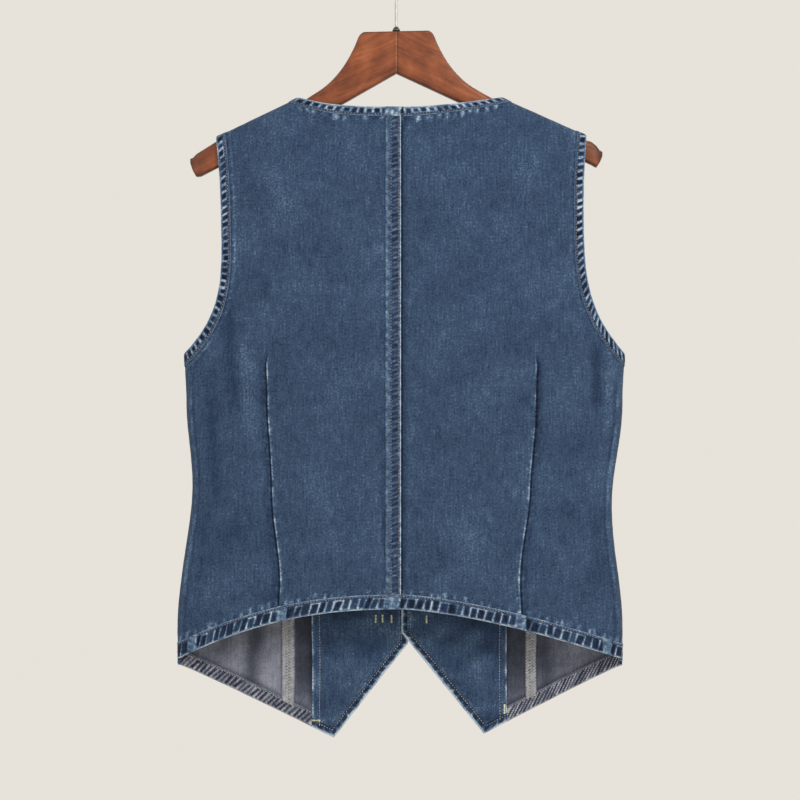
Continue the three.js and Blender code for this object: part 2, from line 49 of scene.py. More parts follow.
studio = {
    "cameraPlace": (0.004, -2.22, -0.4644),
    "lens": 92.96,
    "sensor": 36.0,
    "floorHeight": -1.32,
    "floorSize": 3.2,
    "paleSky": (0.80, 0.765, 0.70),
    "keyPlace": (1.5, -2.1, 1.0),
    "keySize": 0.9,
    "keyPower": 46.0,
    "keyColour": (1.0, 0.975, 0.94),
    "fillPlace": (-1.8, -1.6, 0.2),
    "fillSize": 2.0,
    "fillPower": 10.0,
    "backPlace": (0.6, 2.4, 0.9),
    "backSize": 2.0,
    "backPower": 34.0,
}

# Cut of the garment, as in the CAD part

cut = {
    "denim": 1.4,
    "facingDenim": 1.2,
    "facingSet": -1.75,  # from the middle of the front to the middle of its facing
    "seamGap": 0.3,
    "hemBack": 16.0,
    "hemFront": 15.0,
    "neckBand": 10.6,
    "armBand": 11.0,
    "edgeBand": 9.0,
    "neckHalf": 109.0,
    "neckTop": -140.0,
    "backNeckLow": -150.6,
    "backNeckPower": (3.0, 1.7),
    "shoulderHalf": (198.0, 200.4),
    "shoulderSlope": (0.465, 0.432),
    "armholeHalf": (193.6, 195.9),
    "armholeNarrow": -275.0,
    "armholeFlare": 4.6,
    "armholeSweep": (3.5, 3.1),
    "underarm": -413.5,
    "sideBack": -742.5,
    "hemCentre": -686.9,
    "hemHalf": 238.0,
    "hemPower": (2.3, 1.5),
    "strapClear": 8.6,
    "strapHigh": -240.0,
    "strapLow": -400.0,
    "ridgeRadius": 9.0,
    "vBreak": -385.0,
    "neckPower": 1.12,
    "lapStep": 2.3,
    "bowDepth": 13.0,
    "bowReach": 222.5,
}
bodyStations = [  # height, half width, depth of the back and of the front
    (-120, 236, 10.5, 10.5),
    (-280, 236, 17, 17),
    (-417, 236.6, 26, 28),
    (-468, 234.6, 25, 26),
    (-566, 225.6, 22, 22),
    (-710, 239, 24.5, 26),
    (-744, 238.2, 25, 27),
    (-860, 241, 25, 29),
]
fronts = {
    "Left": {"side": -1, "edge": -8.7, "corner": -729.3, "tip": 72.0, "tipLow": -831.7, "hemEnd": -749.8,
             "facing": 95.8, "dart": 122.0, "lap": 1},
    "Right": {"side": 1, "edge": 1.6, "corner": -717.0, "tip": 91.3, "tipLow": -827.7, "hemEnd": -750.7,
              "facing": 117.0, "dart": 142.5, "lap": -1},
}
backDart = {"line": 0.61, "top": -411.0, "bottomLean": 17.0, "leanFrom": -560.0}
# Largest folds of the CAD part: face, x, high, low, width, rise
broadFolds = [
    (-1, 207, -395, -520, 9, -2.4),
    (-1, -205, -395, -500, 10, -1.8),
    (-1, 62, -190, -430, 30, 1.6),
    (-1, -70, -200, -470, 34, 1.8),
    (-1, 172, -520, -700, 20, 2),
    (-1, -178, -480, -690, 22, 1.8),
    (1, -168, -600, -800, 16, 3.2),
    (1, -104, -560, -830, 7, 2.6),
    (1, 176, -610, -800, 18, 2.6),
    (1, 60, -470, -700, 26, 2),
]
# Soft creases: face, x and z of each end, width, rise
softCreases = [
    (-1, 205, -396, 209, -486, 5.5, -2.1),
    (-1, 221, -398, 216, -520, 5.5, 1.3),
    (-1, -188, -340, -180, -500, 8, -1.9),
    (-1, -170, -380, -160, -520, 9, 1.3),
    (-1, -208, -420, -198, -600, 8, -1.5),
    (-1, 150, -198, 120, -262, 12, 0.8),
    (-1, -150, -205, -108, -285, 13, 0.8),
    (-1, 40, -170, 86, -236, 12, 0.6),
    (-1, -36, -176, -84, -246, 13, 0.6),
    (-1, -60, -620, -92, -548, 12, 0.7),
    (-1, 84, -640, 70, -560, 14, 0.7),
    (-1, 196, -600, 150, -566, 9, -0.6),
    (-1, -196, -622, -150, -582, 10, -0.6),
    (-1, 214, -690, 208, -560, 7, -0.8),
    (-1, -216, -690, -210, -560, 8, -0.8),
    (1, -152, -690, -166, -810, 9, -1.6),
    (1, -186, -640, -200, -772, 11, -1.2),
    (1, -205, -600, -196, -760, 8, 1.1),
    (1, 152, -690, 160, -800, 9, -1.3),
    (1, 198, -650, 190, -770, 10, 1.2),
    (1, -60, -420, -96, -540, 14, 1.4),
    (1, 64, -430, 102, -560, 13, 1.3),
    (1, -160, -250, -118, -340, 13, 1.0),
    (1, 162, -256, 122, -352, 13, 1.1),
    (1, -196, -400, -176, -500, 9, -1.4),
    (1, 200, -404, 182, -512, 9, -1.3),
    (1, -30, -560, -64, -640, 13, 1.0),
    (1, 30, -548, 58, -650, 12, 1.0),
    (1, -206, -520, -150, -560, 9, 0.8),
    (1, 204, -548, 148, -582, 9, 0.8),
]


def ease(t):
    k = np.clip(t, 0.0, 1.0)
    return k * k * (3 - 2 * k)


def mound(off, width):
    return np.exp(-(off / width) ** 2)


def mix(start, end, share):
    return start + (end - start) * share


def sideValue(pair, x):
    return np.where(np.asarray(x) < 0, pair[0], pair[1])


def along(column, z):
    z = np.asarray(z, float)
    out = np.full(z.shape, float(bodyStations[-1][column]))
    for above, below in zip(bodyStations, bodyStations[1:]):
        here = (z < above[0]) & (z >= below[0])
        share = ease((above[0] - z) / (above[0] - below[0]))
        out = np.where(here, mix(above[column], below[column], share), out)
    return np.where(z >= bodyStations[0][0], bodyStations[0][column], out)


def bodyHalf(z):
    return along(1, z)


def ridge(x):
    return cut["neckTop"] - sideValue(cut["shoulderSlope"], x) * (np.abs(x) - cut["neckHalf"])


def sway(x, z):
    return 4.8 * (x / bodyHalf(z)) ** 2 * ease((-150 - z) / 260) * ease((z + 640) / 150)


def bow(x, z):
    return cut["bowDepth"] * (x / cut["bowReach"]) ** 2 * (1 - 0.65 * ease((-250 - z) / 450))


def depthSquared(face, x, z):
    depth = along(2 if face < 0 else 3, z)
    room = cut["strapClear"] * ease((z - cut["strapLow"]) / (cut["strapHigh"] - cut["strapLow"]))
    across = (np.abs(x) / bodyHalf(z)) ** 3
    section = room ** 2 + (depth ** 2 - room ** 2) * (1 - across)
    return section * (1 - np.maximum(0, 1 - (ridge(x) - z) / cut["ridgeRadius"]) ** 2)


def relief(cloth, x, z):
    inside = ease((bodyHalf(z) - np.abs(x)) / 18)
    out = np.zeros(np.broadcast(x, z).shape)
    for face, foldX, high, low, width, rise in broadFolds:
        if face == cloth["face"]:
            across = mound(x - foldX, width)
            out = out + rise * across * ease((high - z) / 60) * ease((z - low) / 60) * inside
    if cloth.get("lap"):
        out = out + cloth["lap"] * cut["lapStep"] * ease((80 - np.abs(x)) / 65)
    return out


def surfaceAt(cloth, x, z):
    # The middle of the cloth and its outward direction
    x, z = np.broadcast_arrays(np.asarray(x, float), np.asarray(z, float))
    face = cloth["face"]

    def middle(px, pz):
        return bow(px, pz) + face * relief(cloth, px, pz)

    half = np.sqrt(np.maximum(0, depthSquared(face, x, z)))
    y = middle(x, z) + face * np.maximum(half, cut["seamGap"] / 2)
    step = 0.02

    def level(px, pz):
        return (y - middle(px, pz)) ** 2 - depthSquared(face, px, pz)

    normal = np.stack([
        level(x + step, z) - level(x - step, z),
        4 * step * (y - middle(x, z)),
        level(x, z + step) - level(x, z - step),
    ], -1)
    normal /= np.linalg.norm(normal, axis=-1, keepdims=True) + 1e-12
    return np.stack([x + sway(x, z), y, z], -1), normal


# Edge curves. Each takes how far inside the cut edge it lies.
def sideHeight(inset):
    return cut["underarm"] - 1.4 * inset


def ofSide(pair, side):
    return pair[0] if side < 0 else pair[1]


def armholeAcross(side, z, inset):
    base = ofSide(cut["armholeHalf"], side) - inset
    low = sideHeight(inset)
    narrow = cut["armholeNarrow"]
    high = base + cut["armholeFlare"] * np.clip((z - narrow) / (-181 - narrow), 0, 1) ** 2
    down = np.clip((narrow - z) / (narrow - low), 0, None)
    sweep = ofSide(cut["armholeSweep"], side) - 0.01 * inset
    return np.where(z >= narrow, high, base + (bodyHalf(low) - base) * down ** sweep)


def backNeck(x, inset):
    reach = cut["neckHalf"] + inset
    share = (np.abs(x) / reach) ** sideValue(cut["backNeckPower"], x)
    return mix(cut["backNeckLow"] - inset, ridge(np.where(np.asarray(x) < 0, -reach, reach)), share)


def backHem(x, inset):
    fall = cut["hemCentre"] - cut["sideBack"]
    power = sideValue(cut["hemPower"], x)
    share = np.abs(x) / cut["hemHalf"]
    slope = power * fall * np.maximum(share, 1e-6) ** (power - 1) / cut["hemHalf"]
    return cut["hemCentre"] - fall * share ** power + inset * np.hypot(1, slope)


def frontNeck(front, t, inset):
    low = cut["vBreak"] - 0.217 * inset
    top = ridge(front["side"] * (cut["neckHalf"] + inset))
    across = front["edge"] + inset + (cut["neckHalf"] - front["edge"]) * t
    return across, low + (top - low) * t ** cut["neckPower"]


def frontNeckHeight(front, u, inset):
    t = np.maximum(0, (u - front["edge"] - inset) / (cut["neckHalf"] - front["edge"]))
    return frontNeck(front, t, inset)[1]


def slantSlope(front):
    return (front["corner"] - front["tipLow"]) / (front["tip"] - front["edge"])


def hemSlope(front):
    return (front["hemEnd"] - front["tipLow"]) / (cut["hemHalf"] - front["tip"])


def slant(front, u, inset):
    slope = slantSlope(front)
    return front["tipLow"] + slope * (front["tip"] - u) + inset * math.hypot(1, slope)


def frontHem(front, u, inset):
    slope = hemSlope(front)
    return front["tipLow"] + slope * (u - front["tip"]) + inset * math.hypot(1, slope)


def tipAcross(front, inset):
    a, b = slantSlope(front), hemSlope(front)
    return front["tip"] + inset * (math.hypot(1, a) - math.hypot(1, b)) / (a + b)


def settle(height, across, start):
    z = start
    for _ in range(40):
        z = height(across(z))
    return z


# Unevenness of real cloth

def waves(seed, count, lengths):
    dice = np.random.default_rng(seed)
    angles = dice.uniform(0, math.pi, count)
    sizes = dice.uniform(lengths[0], lengths[1], count)
    return [(2 * math.pi * math.cos(a) / s, 2 * math.pi * math.sin(a) / s, p)
            for a, s, p in zip(angles, sizes, dice.uniform(0, 6.28, count))]


def drift(x, z, seed, lengths, count=7):
    # Smooth random height between about -1 and 1
    total = 0
    for kx, kz, phase in waves(seed, count, lengths):
        total = total + np.sin(kx * x + kz * z + phase)
    return total / math.sqrt(count * 0.9)


def creaseRise(cloth, x, z):
    out = 0.0
    for face, xa, za, xb, zb, width, rise in softCreases:
        if face != cloth["face"]:
            continue
        length = math.hypot(xb - xa, zb - za)
        ux, uz = (xb - xa) / length, (zb - za) / length
        run = ((x - xa) * ux + (z - za) * uz) / length
        off = (x - xa) * -uz + (z - za) * ux
        off = off + 0.12 * width * np.sin(run * 5 + xa)
        out = out + rise * mound(off, width) * ease(run / 0.3) * ease((1 - run) / 0.3)
    return out


def pleats(s, t, seed, pitch, reach, lean, width=0.2):
    # Little ridges across an edge, uneven in place, width and strength.
    # s runs along the edge and t from the edge inwards, both in millimetres.
    dice = np.random.default_rng(seed)
    out = np.zeros(np.broadcast(s, t).shape)
    at = float(np.min(s)) - pitch
    end = float(np.max(s)) + pitch
    while at < end:
        size = pitch * dice.uniform(0.65, 1.4)
        tilt = lean + dice.uniform(-0.35, 0.35)
        strong = dice.uniform(0.55, 1.0)
        fade = dice.uniform(0.7, 1.15) * reach
        half = pitch * width * dice.uniform(0.7, 1.3)
        off = (s - at - tilt * t) / half
        out = np.maximum(out, strong * np.exp(-off ** 2) * ease((fade - t) / (0.5 * reach)))
        at += size
    return out


# Mesh making

def rowsOfQuads(rows, cols, ring):
    last = rows if ring else rows - 1
    r, c = np.meshgrid(np.arange(last), np.arange(cols - 1), indexing="ij")
    r, c = r.ravel(), c.ravel()
    nextRow = (r + 1) % rows
    return np.stack([r * cols + c, r * cols + c + 1, nextRow * cols + c + 1, nextRow * cols + c], -1)


def signedVolume(points, quads):
    a, b, c, d = (points[quads[:, i]] for i in range(4))
    return float((np.cross(a, b) * c).sum() + (np.cross(a, c) * d).sum())


def toFrame(points):
    out = np.array(points, float).reshape(-1, 3)
    out[:, 0] += garmentShift
    return out * mm


def addObject(name, data):
    obj = bpy.data.objects.new(name, data)
    bpy.context.scene.collection.objects.link(obj)
    return obj


def makeObject(name, points, faces, materials, faceMaterial=None, uv=None, values=None):
    mesh = bpy.data.meshes.new(name)
    mesh.from_pydata(toFrame(points).tolist(), [], [list(map(int, f)) for f in faces])
    for material in materials:
        mesh.materials.append(material)
    if faceMaterial is not None:
        mesh.polygons.foreach_set("material_index", np.asarray(faceMaterial, np.int32))
    mesh.polygons.foreach_set("use_smooth", np.ones(len(mesh.polygons), bool))
    if uv is not None:
        layer = mesh.uv_layers.new(name="cloth")
        layer.data.foreach_set("uv", np.asarray(uv, np.float32).ravel())
    for key, data in (values or {}).items():
        layer = mesh.attributes.new(key, "FLOAT", "POINT")
        layer.data.foreach_set("value", np.asarray(data, np.float32).ravel())
    mesh.update()
    return addObject(name, mesh)


def shell(name, place, normal, rise, thick, uv, materials, wearAndHighlight, shadeAndDarkTone, ring=False, offset=0.0):
    # A thin closed cloth: an outer face, an inner face and the rims between them
    rows, cols = place.shape[:2]
    rise, thick, wearAndHighlight, shadeAndDarkTone = (np.broadcast_to(v, (rows, cols)) for v in (rise, thick, wearAndHighlight, shadeAndDarkTone))
    outer = place + normal * (offset + rise + thick / 2)[..., None]
    inner = place + normal * (offset + rise - thick / 2)[..., None]
    count = rows * cols
    points = np.concatenate([outer.reshape(-1, 3), inner.reshape(-1, 3)])
    quads = rowsOfQuads(rows, cols, ring)
    innerQuads = quads[:, ::-1] + count
    index = np.arange(count).reshape(rows, cols)
    loop = np.arange(rows if ring else rows - 1)
    nextLoop = (loop + 1) % rows

    def rim(start, end):
        return np.stack([start, start + count, end + count, end], -1)

    rims = [rim(index[nextLoop, 0], index[loop, 0])[:, ::-1], rim(index[nextLoop, -1], index[loop, -1])]
    if not ring:
        rims += [rim(index[0, :-1], index[0, 1:]), rim(index[-1, 1:], index[-1, :-1])]
    rims = np.concatenate(rims)[:, ::-1]
    faces = np.concatenate([quads, innerQuads, rims])
    kind = np.concatenate([np.zeros(len(quads)), np.ones(len(innerQuads)), np.full(len(rims), 2)])
    vertexUv = np.concatenate([uv.reshape(-1, 2)] * 2)
    loopUv = vertexUv[faces]
    if ring:
        lastRow = (faces % count) // cols
        wraps = (lastRow.max(1) == rows - 1) & (lastRow.min(1) == 0)
        total = float(uv[-1, 0, 1] + (uv[1, 0, 1] - uv[0, 0, 1]))
        loopUv[..., 1] += np.where(wraps[:, None] & (lastRow == 0), total, 0)
    if signedVolume(points, faces) < 0:
        faces = faces[:, ::-1]
        loopUv = loopUv[:, ::-1]
    values = {"wearAndHighlight": np.concatenate([wearAndHighlight.ravel()] * 2), "shadeAndDarkTone": np.concatenate([shadeAndDarkTone.ravel()] * 2)}
    obj = makeObject(name, points, faces, materials, kind, loopUv.reshape(-1, 2) * mm, values)
    return obj, {"outer": outer, "inner": inner, "normal": normal}


def grainTable(cloth):
    # Lengths along the cloth from the middle line, for a net of places and heights
    xs, zs = np.linspace(-246, 246, 247), np.linspace(-860, -100, 96)
    x, z = np.meshgrid(xs, zs)
    place, normal = surfaceAt(cloth, x, z)
    gaps = np.minimum(np.linalg.norm(np.diff(place, axis=1), axis=-1), 8.0)
    length = np.concatenate([np.zeros((len(zs), 1)), gaps.cumsum(1)], 1)
    return xs, zs, length - length[:, len(xs) // 2][:, None]


grainTables = {}


def clothUv(cloth, x, z):
    # The warp hangs straight down, and the weave keeps its size round the sides
    if cloth["face"] not in grainTables:
        grainTables[cloth["face"]] = grainTable({"face": cloth["face"]})
    xs, zs, length = grainTables[cloth["face"]]
    x, z = np.broadcast_arrays(x, z)
    column = np.clip((x - xs[0]) / (xs[1] - xs[0]), 0, len(xs) - 1.001)
    row = np.clip((z - zs[0]) / (zs[1] - zs[0]), 0, len(zs) - 1.001)
    i, j = column.astype(int), row.astype(int)
    low = mix(length[j, i], length[j, i + 1], column - i)
    high = mix(length[j + 1, i], length[j + 1, i + 1], column - i)
    return np.stack([mix(low, high, row - j), z], -1)


print("cut and surfaces ready")

# Materials

def paint(r, g, b):
    # A colour given as 0 to 255, as Blender's own linear colour
    shares = [c / 255 for c in (r, g, b)]
    return tuple(c / 12.92 if c < 0.04 else ((c + 0.055) / 1.055) ** 2.4 for c in shares) + (1.0,)


def newMaterial(name):
    material = bpy.data.materials.new(name)
    material.use_nodes = True
    tree = material.node_tree
    return material, tree, tree.nodes["Principled BSDF"]


def addNode(tree, kind, inputs=None, **settings):
    node = tree.nodes.new(kind)
    for key, value in settings.items():
        setattr(node, key, value)
    for key, value in (inputs or {}).items():
        if isinstance(value, bpy.types.NodeSocket):
            tree.links.new(value, node.inputs[key])
        else:
            node.inputs[key].default_value = value
    return node


def noiseOn(tree, vector, scale, stretch=(1, 1, 1), detail=2.0, rough=0.55):
    placed = addNode(tree, "ShaderNodeMapping", {"Vector": vector, "Scale": [scale * s for s in stretch]})
    return addNode(tree, "ShaderNodeTexNoise", {
        "Vector": placed.outputs[0], "Scale": 1.0, "Detail": detail, "Roughness": rough}).outputs["Fac"]


def weighted(tree, base, parts):
    # base + the sum of value * weight
    total = base
    for value, weight in parts:
        total = addNode(tree, "ShaderNodeMath", {0: value, 1: weight, 2: total},
                        operation="MULTIPLY_ADD").outputs[0]
    return total


def ramp(tree, factor, stops):
    node = addNode(tree, "ShaderNodeValToRGB", {"Fac": factor})
    band = node.color_ramp
    while len(band.elements) < len(stops):
        band.elements.new(0.5)
    for element, (place, colour) in zip(band.elements, stops):
        element.position = place
        element.color = colour
    return node.outputs["Color"]


def attribute(tree, name):
    return addNode(tree, "ShaderNodeAttribute", attribute_name=name).outputs["Fac"]


def setFinish(tree, shader, height, bump, values):
    strength, distance = bump
    raised = addNode(tree, "ShaderNodeBump", {"Height": height, "Strength": strength, "Distance": distance})
    tree.links.new(raised.outputs[0], shader.inputs["Normal"])
    for key, value in values.items():
        shader.inputs[key].default_value = value


denimLook = {
    "ribPitch": 0.85,  # distance between the twill's ribs
    "stops": [(0.0, paint(15, 22, 40)), (0.3, paint(38, 55, 82)), (0.5, paint(59, 80, 108)),
              (0.7, paint(96, 120, 148)), (1.0, paint(178, 192, 206))],
    "level": 0.418,
    "mixing": {"flecks": 0.78, "mottle": 0.26, "clouds": 0.26, "warp": 0.32, "ribs": 0.07},
    "wearAndHighlight": 0.52,
    "shadeAndDarkTone": 0.46,
}
turnedLook = {**denimLook, "level": 0.44, "wearAndHighlight": 0.62, "shadeAndDarkTone": 0.6,
              "mixing": {"flecks": 0.55, "mottle": 0.3, "clouds": 0.1, "warp": 0.16, "ribs": 0.05}}
reverseLook = {
    "ribPitch": 0.85,
    "stops": [(0.0, paint(34, 37, 47)), (0.33, paint(72, 77, 92)), (0.52, paint(104, 109, 124)),
              (0.7, paint(136, 140, 155)), (1.0, paint(178, 180, 188))],
    "level": 0.585,
    "mixing": {"flecks": 0.4, "mottle": 0.28, "clouds": 0.3, "warp": 0.22, "ribs": 0.06},
    "wearAndHighlight": 0.4,
    "shadeAndDarkTone": 0.6,
}


def clothMaterial(name, look):
    material, tree, shader = newMaterial(name)
    uv = addNode(tree, "ShaderNodeUVMap", uv_map="cloth").outputs[0]
    size = addNode(tree, "ShaderNodeVectorMath", {0: uv, "Scale": 1000.0}, operation="SCALE").outputs[0]
    flecks = noiseOn(tree, size, 0.46, detail=3.0, rough=0.7)
    mottle = noiseOn(tree, size, 0.1, detail=3.5, rough=0.6)
    clouds = noiseOn(tree, size, 0.019, detail=2.0)
    warp = noiseOn(tree, size, 1.0, stretch=(0.5, 0.045, 1.0), detail=2.5)
    turned = addNode(tree, "ShaderNodeMapping", {"Vector": size, "Rotation": (0, 0, math.radians(-38))})
    ribs = addNode(tree, "ShaderNodeTexWave", {
        "Vector": turned.outputs[0], "Scale": 0.314 / look["ribPitch"], "Distortion": 1.1, "Detail": 1.0,
        "Detail Scale": 1.4}, wave_type="BANDS", bands_direction="X").outputs["Fac"]
    layers = {"flecks": flecks, "mottle": mottle, "clouds": clouds, "warp": warp, "ribs": ribs}
    # Worn cloth shows its pale threads in specks rather than evenly; the pale marks also hold painted highlight
    # on crease and dart ridges
    specks = weighted(tree, 0.2, [(flecks, 1.6)])
    worn = addNode(tree, "ShaderNodeMath", {0: attribute(tree, "wearAndHighlight"), 1: specks},
                   operation="MULTIPLY").outputs[0]
    centre = look["level"] - 0.5 * sum(look["mixing"].values())
    # The darker marks are painted shade in grooves, creases and along band edges, and in the ropes of turned
    # edges also their dark dye
    tone = weighted(tree, centre, [(layers[key], weight) for key, weight in look["mixing"].items()] + [
        (worn, look["wearAndHighlight"]), (attribute(tree, "shadeAndDarkTone"), -look["shadeAndDarkTone"])])
    tree.links.new(ramp(tree, tone, look["stops"]), shader.inputs["Base Color"])
    height = weighted(tree, 0.0, [(ribs, 0.55), (flecks, 0.8), (warp, 0.3), (mottle, 0.9)])
    setFinish(tree, shader, height, (0.6, 0.0006), {
        "Roughness": 0.88, "Specular IOR Level": 0.14, "Sheen Weight": 0.04, "Sheen Roughness": 0.5})
    return material


def threadMaterial(name, dark, light):
    material, tree, shader = newMaterial(name)
    place = addNode(tree, "ShaderNodeTexCoord").outputs["Object"]
    patches = noiseOn(tree, place, 190.0, detail=2.0)
    twist = noiseOn(tree, place, 1400.0, detail=1.0)
    tone = weighted(tree, -0.25, [(patches, 1.1), (twist, 0.4)])
    tree.links.new(ramp(tree, tone, [(0.2, dark), (0.8, light)]), shader.inputs["Base Color"])
    setFinish(tree, shader, twist, (0.4, 0.0002), {"Roughness": 0.6})
    return material


def woodMaterial():
    material, tree, shader = newMaterial("redStainedWood")
    grain = addNode(tree, "ShaderNodeAttribute", attribute_name="grain").outputs["Vector"]
    size = addNode(tree, "ShaderNodeVectorMath", {0: grain, "Scale": 1000.0}, operation="SCALE").outputs[0]
    wander = addNode(tree, "ShaderNodeTexNoise", {
        "Vector": size, "Scale": 0.014, "Detail": 2.0}).outputs["Color"]
    bent = addNode(tree, "ShaderNodeVectorMath", {0: wander, 1: (14.0, 14.0, 14.0), 2: size},
                   operation="MULTIPLY_ADD").outputs[0]
    rings = noiseOn(tree, bent, 1.0, stretch=(0.010, 0.16, 0.16), detail=3.0, rough=0.6)
    pores = noiseOn(tree, bent, 1.0, stretch=(0.05, 1.5, 1.5), detail=2.0, rough=0.7)
    stain = noiseOn(tree, size, 0.045, detail=3.0, rough=0.6)
    tone = weighted(tree, -0.36, [(rings, 0.6), (pores, 0.45), (stain, 0.8), (attribute(tree, "shadeAndDarkTone"), -0.5)])
    stops = [(0.1, paint(58, 26, 12)), (0.4, paint(104, 52, 26)), (0.62, paint(132, 70, 38)),
             (0.9, paint(162, 94, 58))]
    tree.links.new(ramp(tree, tone, stops), shader.inputs["Base Color"])
    rough = weighted(tree, 0.36, [(pores, 0.22)])
    tree.links.new(rough, shader.inputs["Roughness"])
    height = weighted(tree, 0.0, [(pores, 0.6), (rings, 0.5)])
    setFinish(tree, shader, height, (0.25, 0.0003), {
        "Coat Weight": 0.1, "Coat Roughness": 0.3, "Specular IOR Level": 0.3})
    return material


def metalMaterial(name, dark, light, rough, scale, metallic=1.0):
    material, tree, shader = newMaterial(name)
    place = addNode(tree, "ShaderNodeTexCoord").outputs["Object"]
    patches = noiseOn(tree, place, scale, detail=3.0)
    scratches = noiseOn(tree, place, scale * 6, stretch=(1, 1, 0.12), detail=2.0)
    tone = weighted(tree, 0.0, [(patches, 0.7), (scratches, 0.3)])
    tree.links.new(ramp(tree, tone, [(0.3, dark), (0.7, light)]), shader.inputs["Base Color"])
    tree.links.new(weighted(tree, rough, [(patches, 0.16)]), shader.inputs["Roughness"])
    shader.inputs["Metallic"].default_value = metallic
    return material


denimCloth = clothMaterial("washedDenim", denimLook)
turnedDenim = clothMaterial("turnedDenim", turnedLook)
reverseCloth = clothMaterial("denimWrongSide", reverseLook)
tanThread = threadMaterial("tanThread", paint(72, 66, 72), paint(172, 158, 154))
paleThread = threadMaterial("paleThread", paint(136, 134, 128), paint(208, 204, 194))
blueThread = threadMaterial("blueThread", paint(34, 44, 64), paint(76, 92, 116))
barThread = threadMaterial("bartackThread", paint(176, 182, 146), paint(236, 240, 204))
wood = woodMaterial()
steel = metalMaterial("hookSteel", paint(176, 175, 170), paint(214, 212, 206), 0.5, 120.0, 0.75)
darkSteel = metalMaterial("ferruleSteel", paint(58, 56, 52), paint(128, 124, 118), 0.4, 160.0)
brass = metalMaterial("agedBrass", paint(104, 80, 46), paint(176, 146, 92), 0.3, 260.0)
print("materials ready")

# Cloth panels

tuckUnder = 3.0  # how far a panel runs on inside the turned edge that covers it
panelSizes = {
    "columns": 74,
    "torsoRows": 138,
    "armRows": 66,
    "upperRows": 34,
    "turnRows": 9,
    "pleatPitch": 8.6,
    "closest": 0.0012,  # least share of the width between two columns
}
armInset = cut["armBand"] - tuckUnder


def armHeights(side, inset, armRows, upperRows, turnRows):
    low = sideHeight(inset)
    top = float(ridge(side * (ofSide(cut["shoulderHalf"], side) - inset)))
    narrow = cut["armholeNarrow"]
    rows = np.arange(armRows + 1) / armRows
    bottom = narrow - (1 - rows ** 1.6) * (narrow - low)
    shoulder = top - cut["ridgeRadius"]
    upper = narrow + np.arange(1, upperRows + 1) / (upperRows + 1) * (shoulder - narrow)
    turn = top - cut["ridgeRadius"] * (1 - np.cos(np.radians(np.linspace(90, 0, turnRows))))
    return np.concatenate([bottom, upper, turn])


def panelEnd(side, z):
    return np.where(z > sideHeight(armInset), armholeAcross(side, z, armInset), bodyHalf(z))


def columnAt(shape, s):
    # Beside the armhole the outer columns bend in more than the inner ones
    def across(z):
        end = panelEnd(shape["side"], z)
        body = np.maximum(bodyHalf(z), end)
        width = (body - shape["start"]) * s - (body - end) * s ** shape.get("bend", 1)
        return shape["start"] + width - shape["shift"](z) * np.sin(np.pi * s)
    return across


def rowShares(shape):
    last = columnAt(shape, 1.0)
    low = settle(shape["bottom"], last, cut["sideBack"])
    high = settle(shape["top"], last, -180.0)
    under = sideHeight(armInset)
    torso = low + np.arange(panelSizes["torsoRows"]) / panelSizes["torsoRows"] * (under - low)
    rows = [panelSizes[key] for key in ("armRows", "upperRows", "turnRows")]
    arm = armHeights(shape["side"], armInset, *rows)
    return np.clip((np.concatenate([torso, arm]) - low) / (high - low), 0, 1)


def panelPlaces(shape, s):
    # Places across and heights for a list of columns, on every row
    s = np.asarray(s, float)
    across = columnAt(shape, s)
    low = settle(shape["bottom"], across, np.full(s.shape, cut["sideBack"]))
    high = settle(shape["top"], across, np.full(s.shape, -180.0))
    z = low + rowShares(shape)[:, None] * (high - low)
    return across(z), z


def panelColumns(extra):
    k = np.linspace(0, 1, panelSizes["columns"])
    even = 0.62 * k + 0.38 * (1 - (1 - k) ** 2.4)
    s = np.concatenate([even, extra, [0, 1]])
    s = np.unique(np.round(s[(s >= 0) & (s <= 1)], 6))
    keep = [s[0]]
    for value in s[1:]:
        if value - keep[-1] > panelSizes["closest"]:
            keep.append(value)
    keep[-1] = 1.0
    return np.array(keep)


def softRise(cloth, x, z):
    # Unevenness that every layer on one face follows
    loose = ease((bodyHalf(z) - np.abs(x)) / 16) * ease((ridge(x) - z) / 22)
    seed = 11 if cloth["face"] < 0 else 23
    slow = 0.75 * drift(x, z, seed, (95, 170)) + 0.2 * drift(x, z, seed + 1, (32, 60), 9)
    return loose * (slow + creaseRise(cloth, x, z))


def fineRise(x, z, seed):
    return 0.07 * drift(x, z, seed, (11, 22), 9)


pieces = {}


def keepPiece(obj, slotName, replaced=()):
    pieces[obj.name] = {"object": obj, "slot": slotName, "replaced": list(replaced)}
    return obj


backSheets = {
    "Left": {"side": -1, "node": "back_left", "seed": 31},
    "Right": {"side": 1, "node": "back_right", "seed": 37},
}
# Columns beside a dart and near the side, in millimetres
dartOffsets = np.array([
    -8, -5.5, -3.8, -2.7, -2.0, -1.5, -1.0, -0.6, -0.2, 0.2, 0.6, 1.0, 1.5, 2.2, 3.2, 4.6, 7])
sideOffsets = np.array([4, 6.5, 8, 9.5, 11, 14])
middleOffsets = np.array([0.4, 1.0, 1.8, 3.0, 5.0])
facingOffsets = np.array([-9, -5, -2, -0.6, 0, 0.6, 2])
panelReach = 235.0  # the width that the offsets are shares of
backCloth = {"face": -1}


def backShape(side):
    inset = cut["neckBand"] - tuckUnder
    return {
        "side": side,
        "start": 0.15,
        "bend": 3,
        "shift": lambda z: backDart["bottomLean"] * ease((backDart["leanFrom"] - z) / 110),
        "top": lambda u: np.where(u < cut["neckHalf"] + inset, backNeck(side * u, inset), ridge(side * u)),
        "bottom": lambda u: backHem(side * u, cut["hemBack"] - tuckUnder),
    }


def dartRise(off, sewn, pull):
    # A low ridge, and beside it the hollow of the sewn line
    return sewn * (0.5 * mound(off + 1.5, 1.2) - 1.15 * mound(off - 0.5, 0.75)) + 0.16 * pull


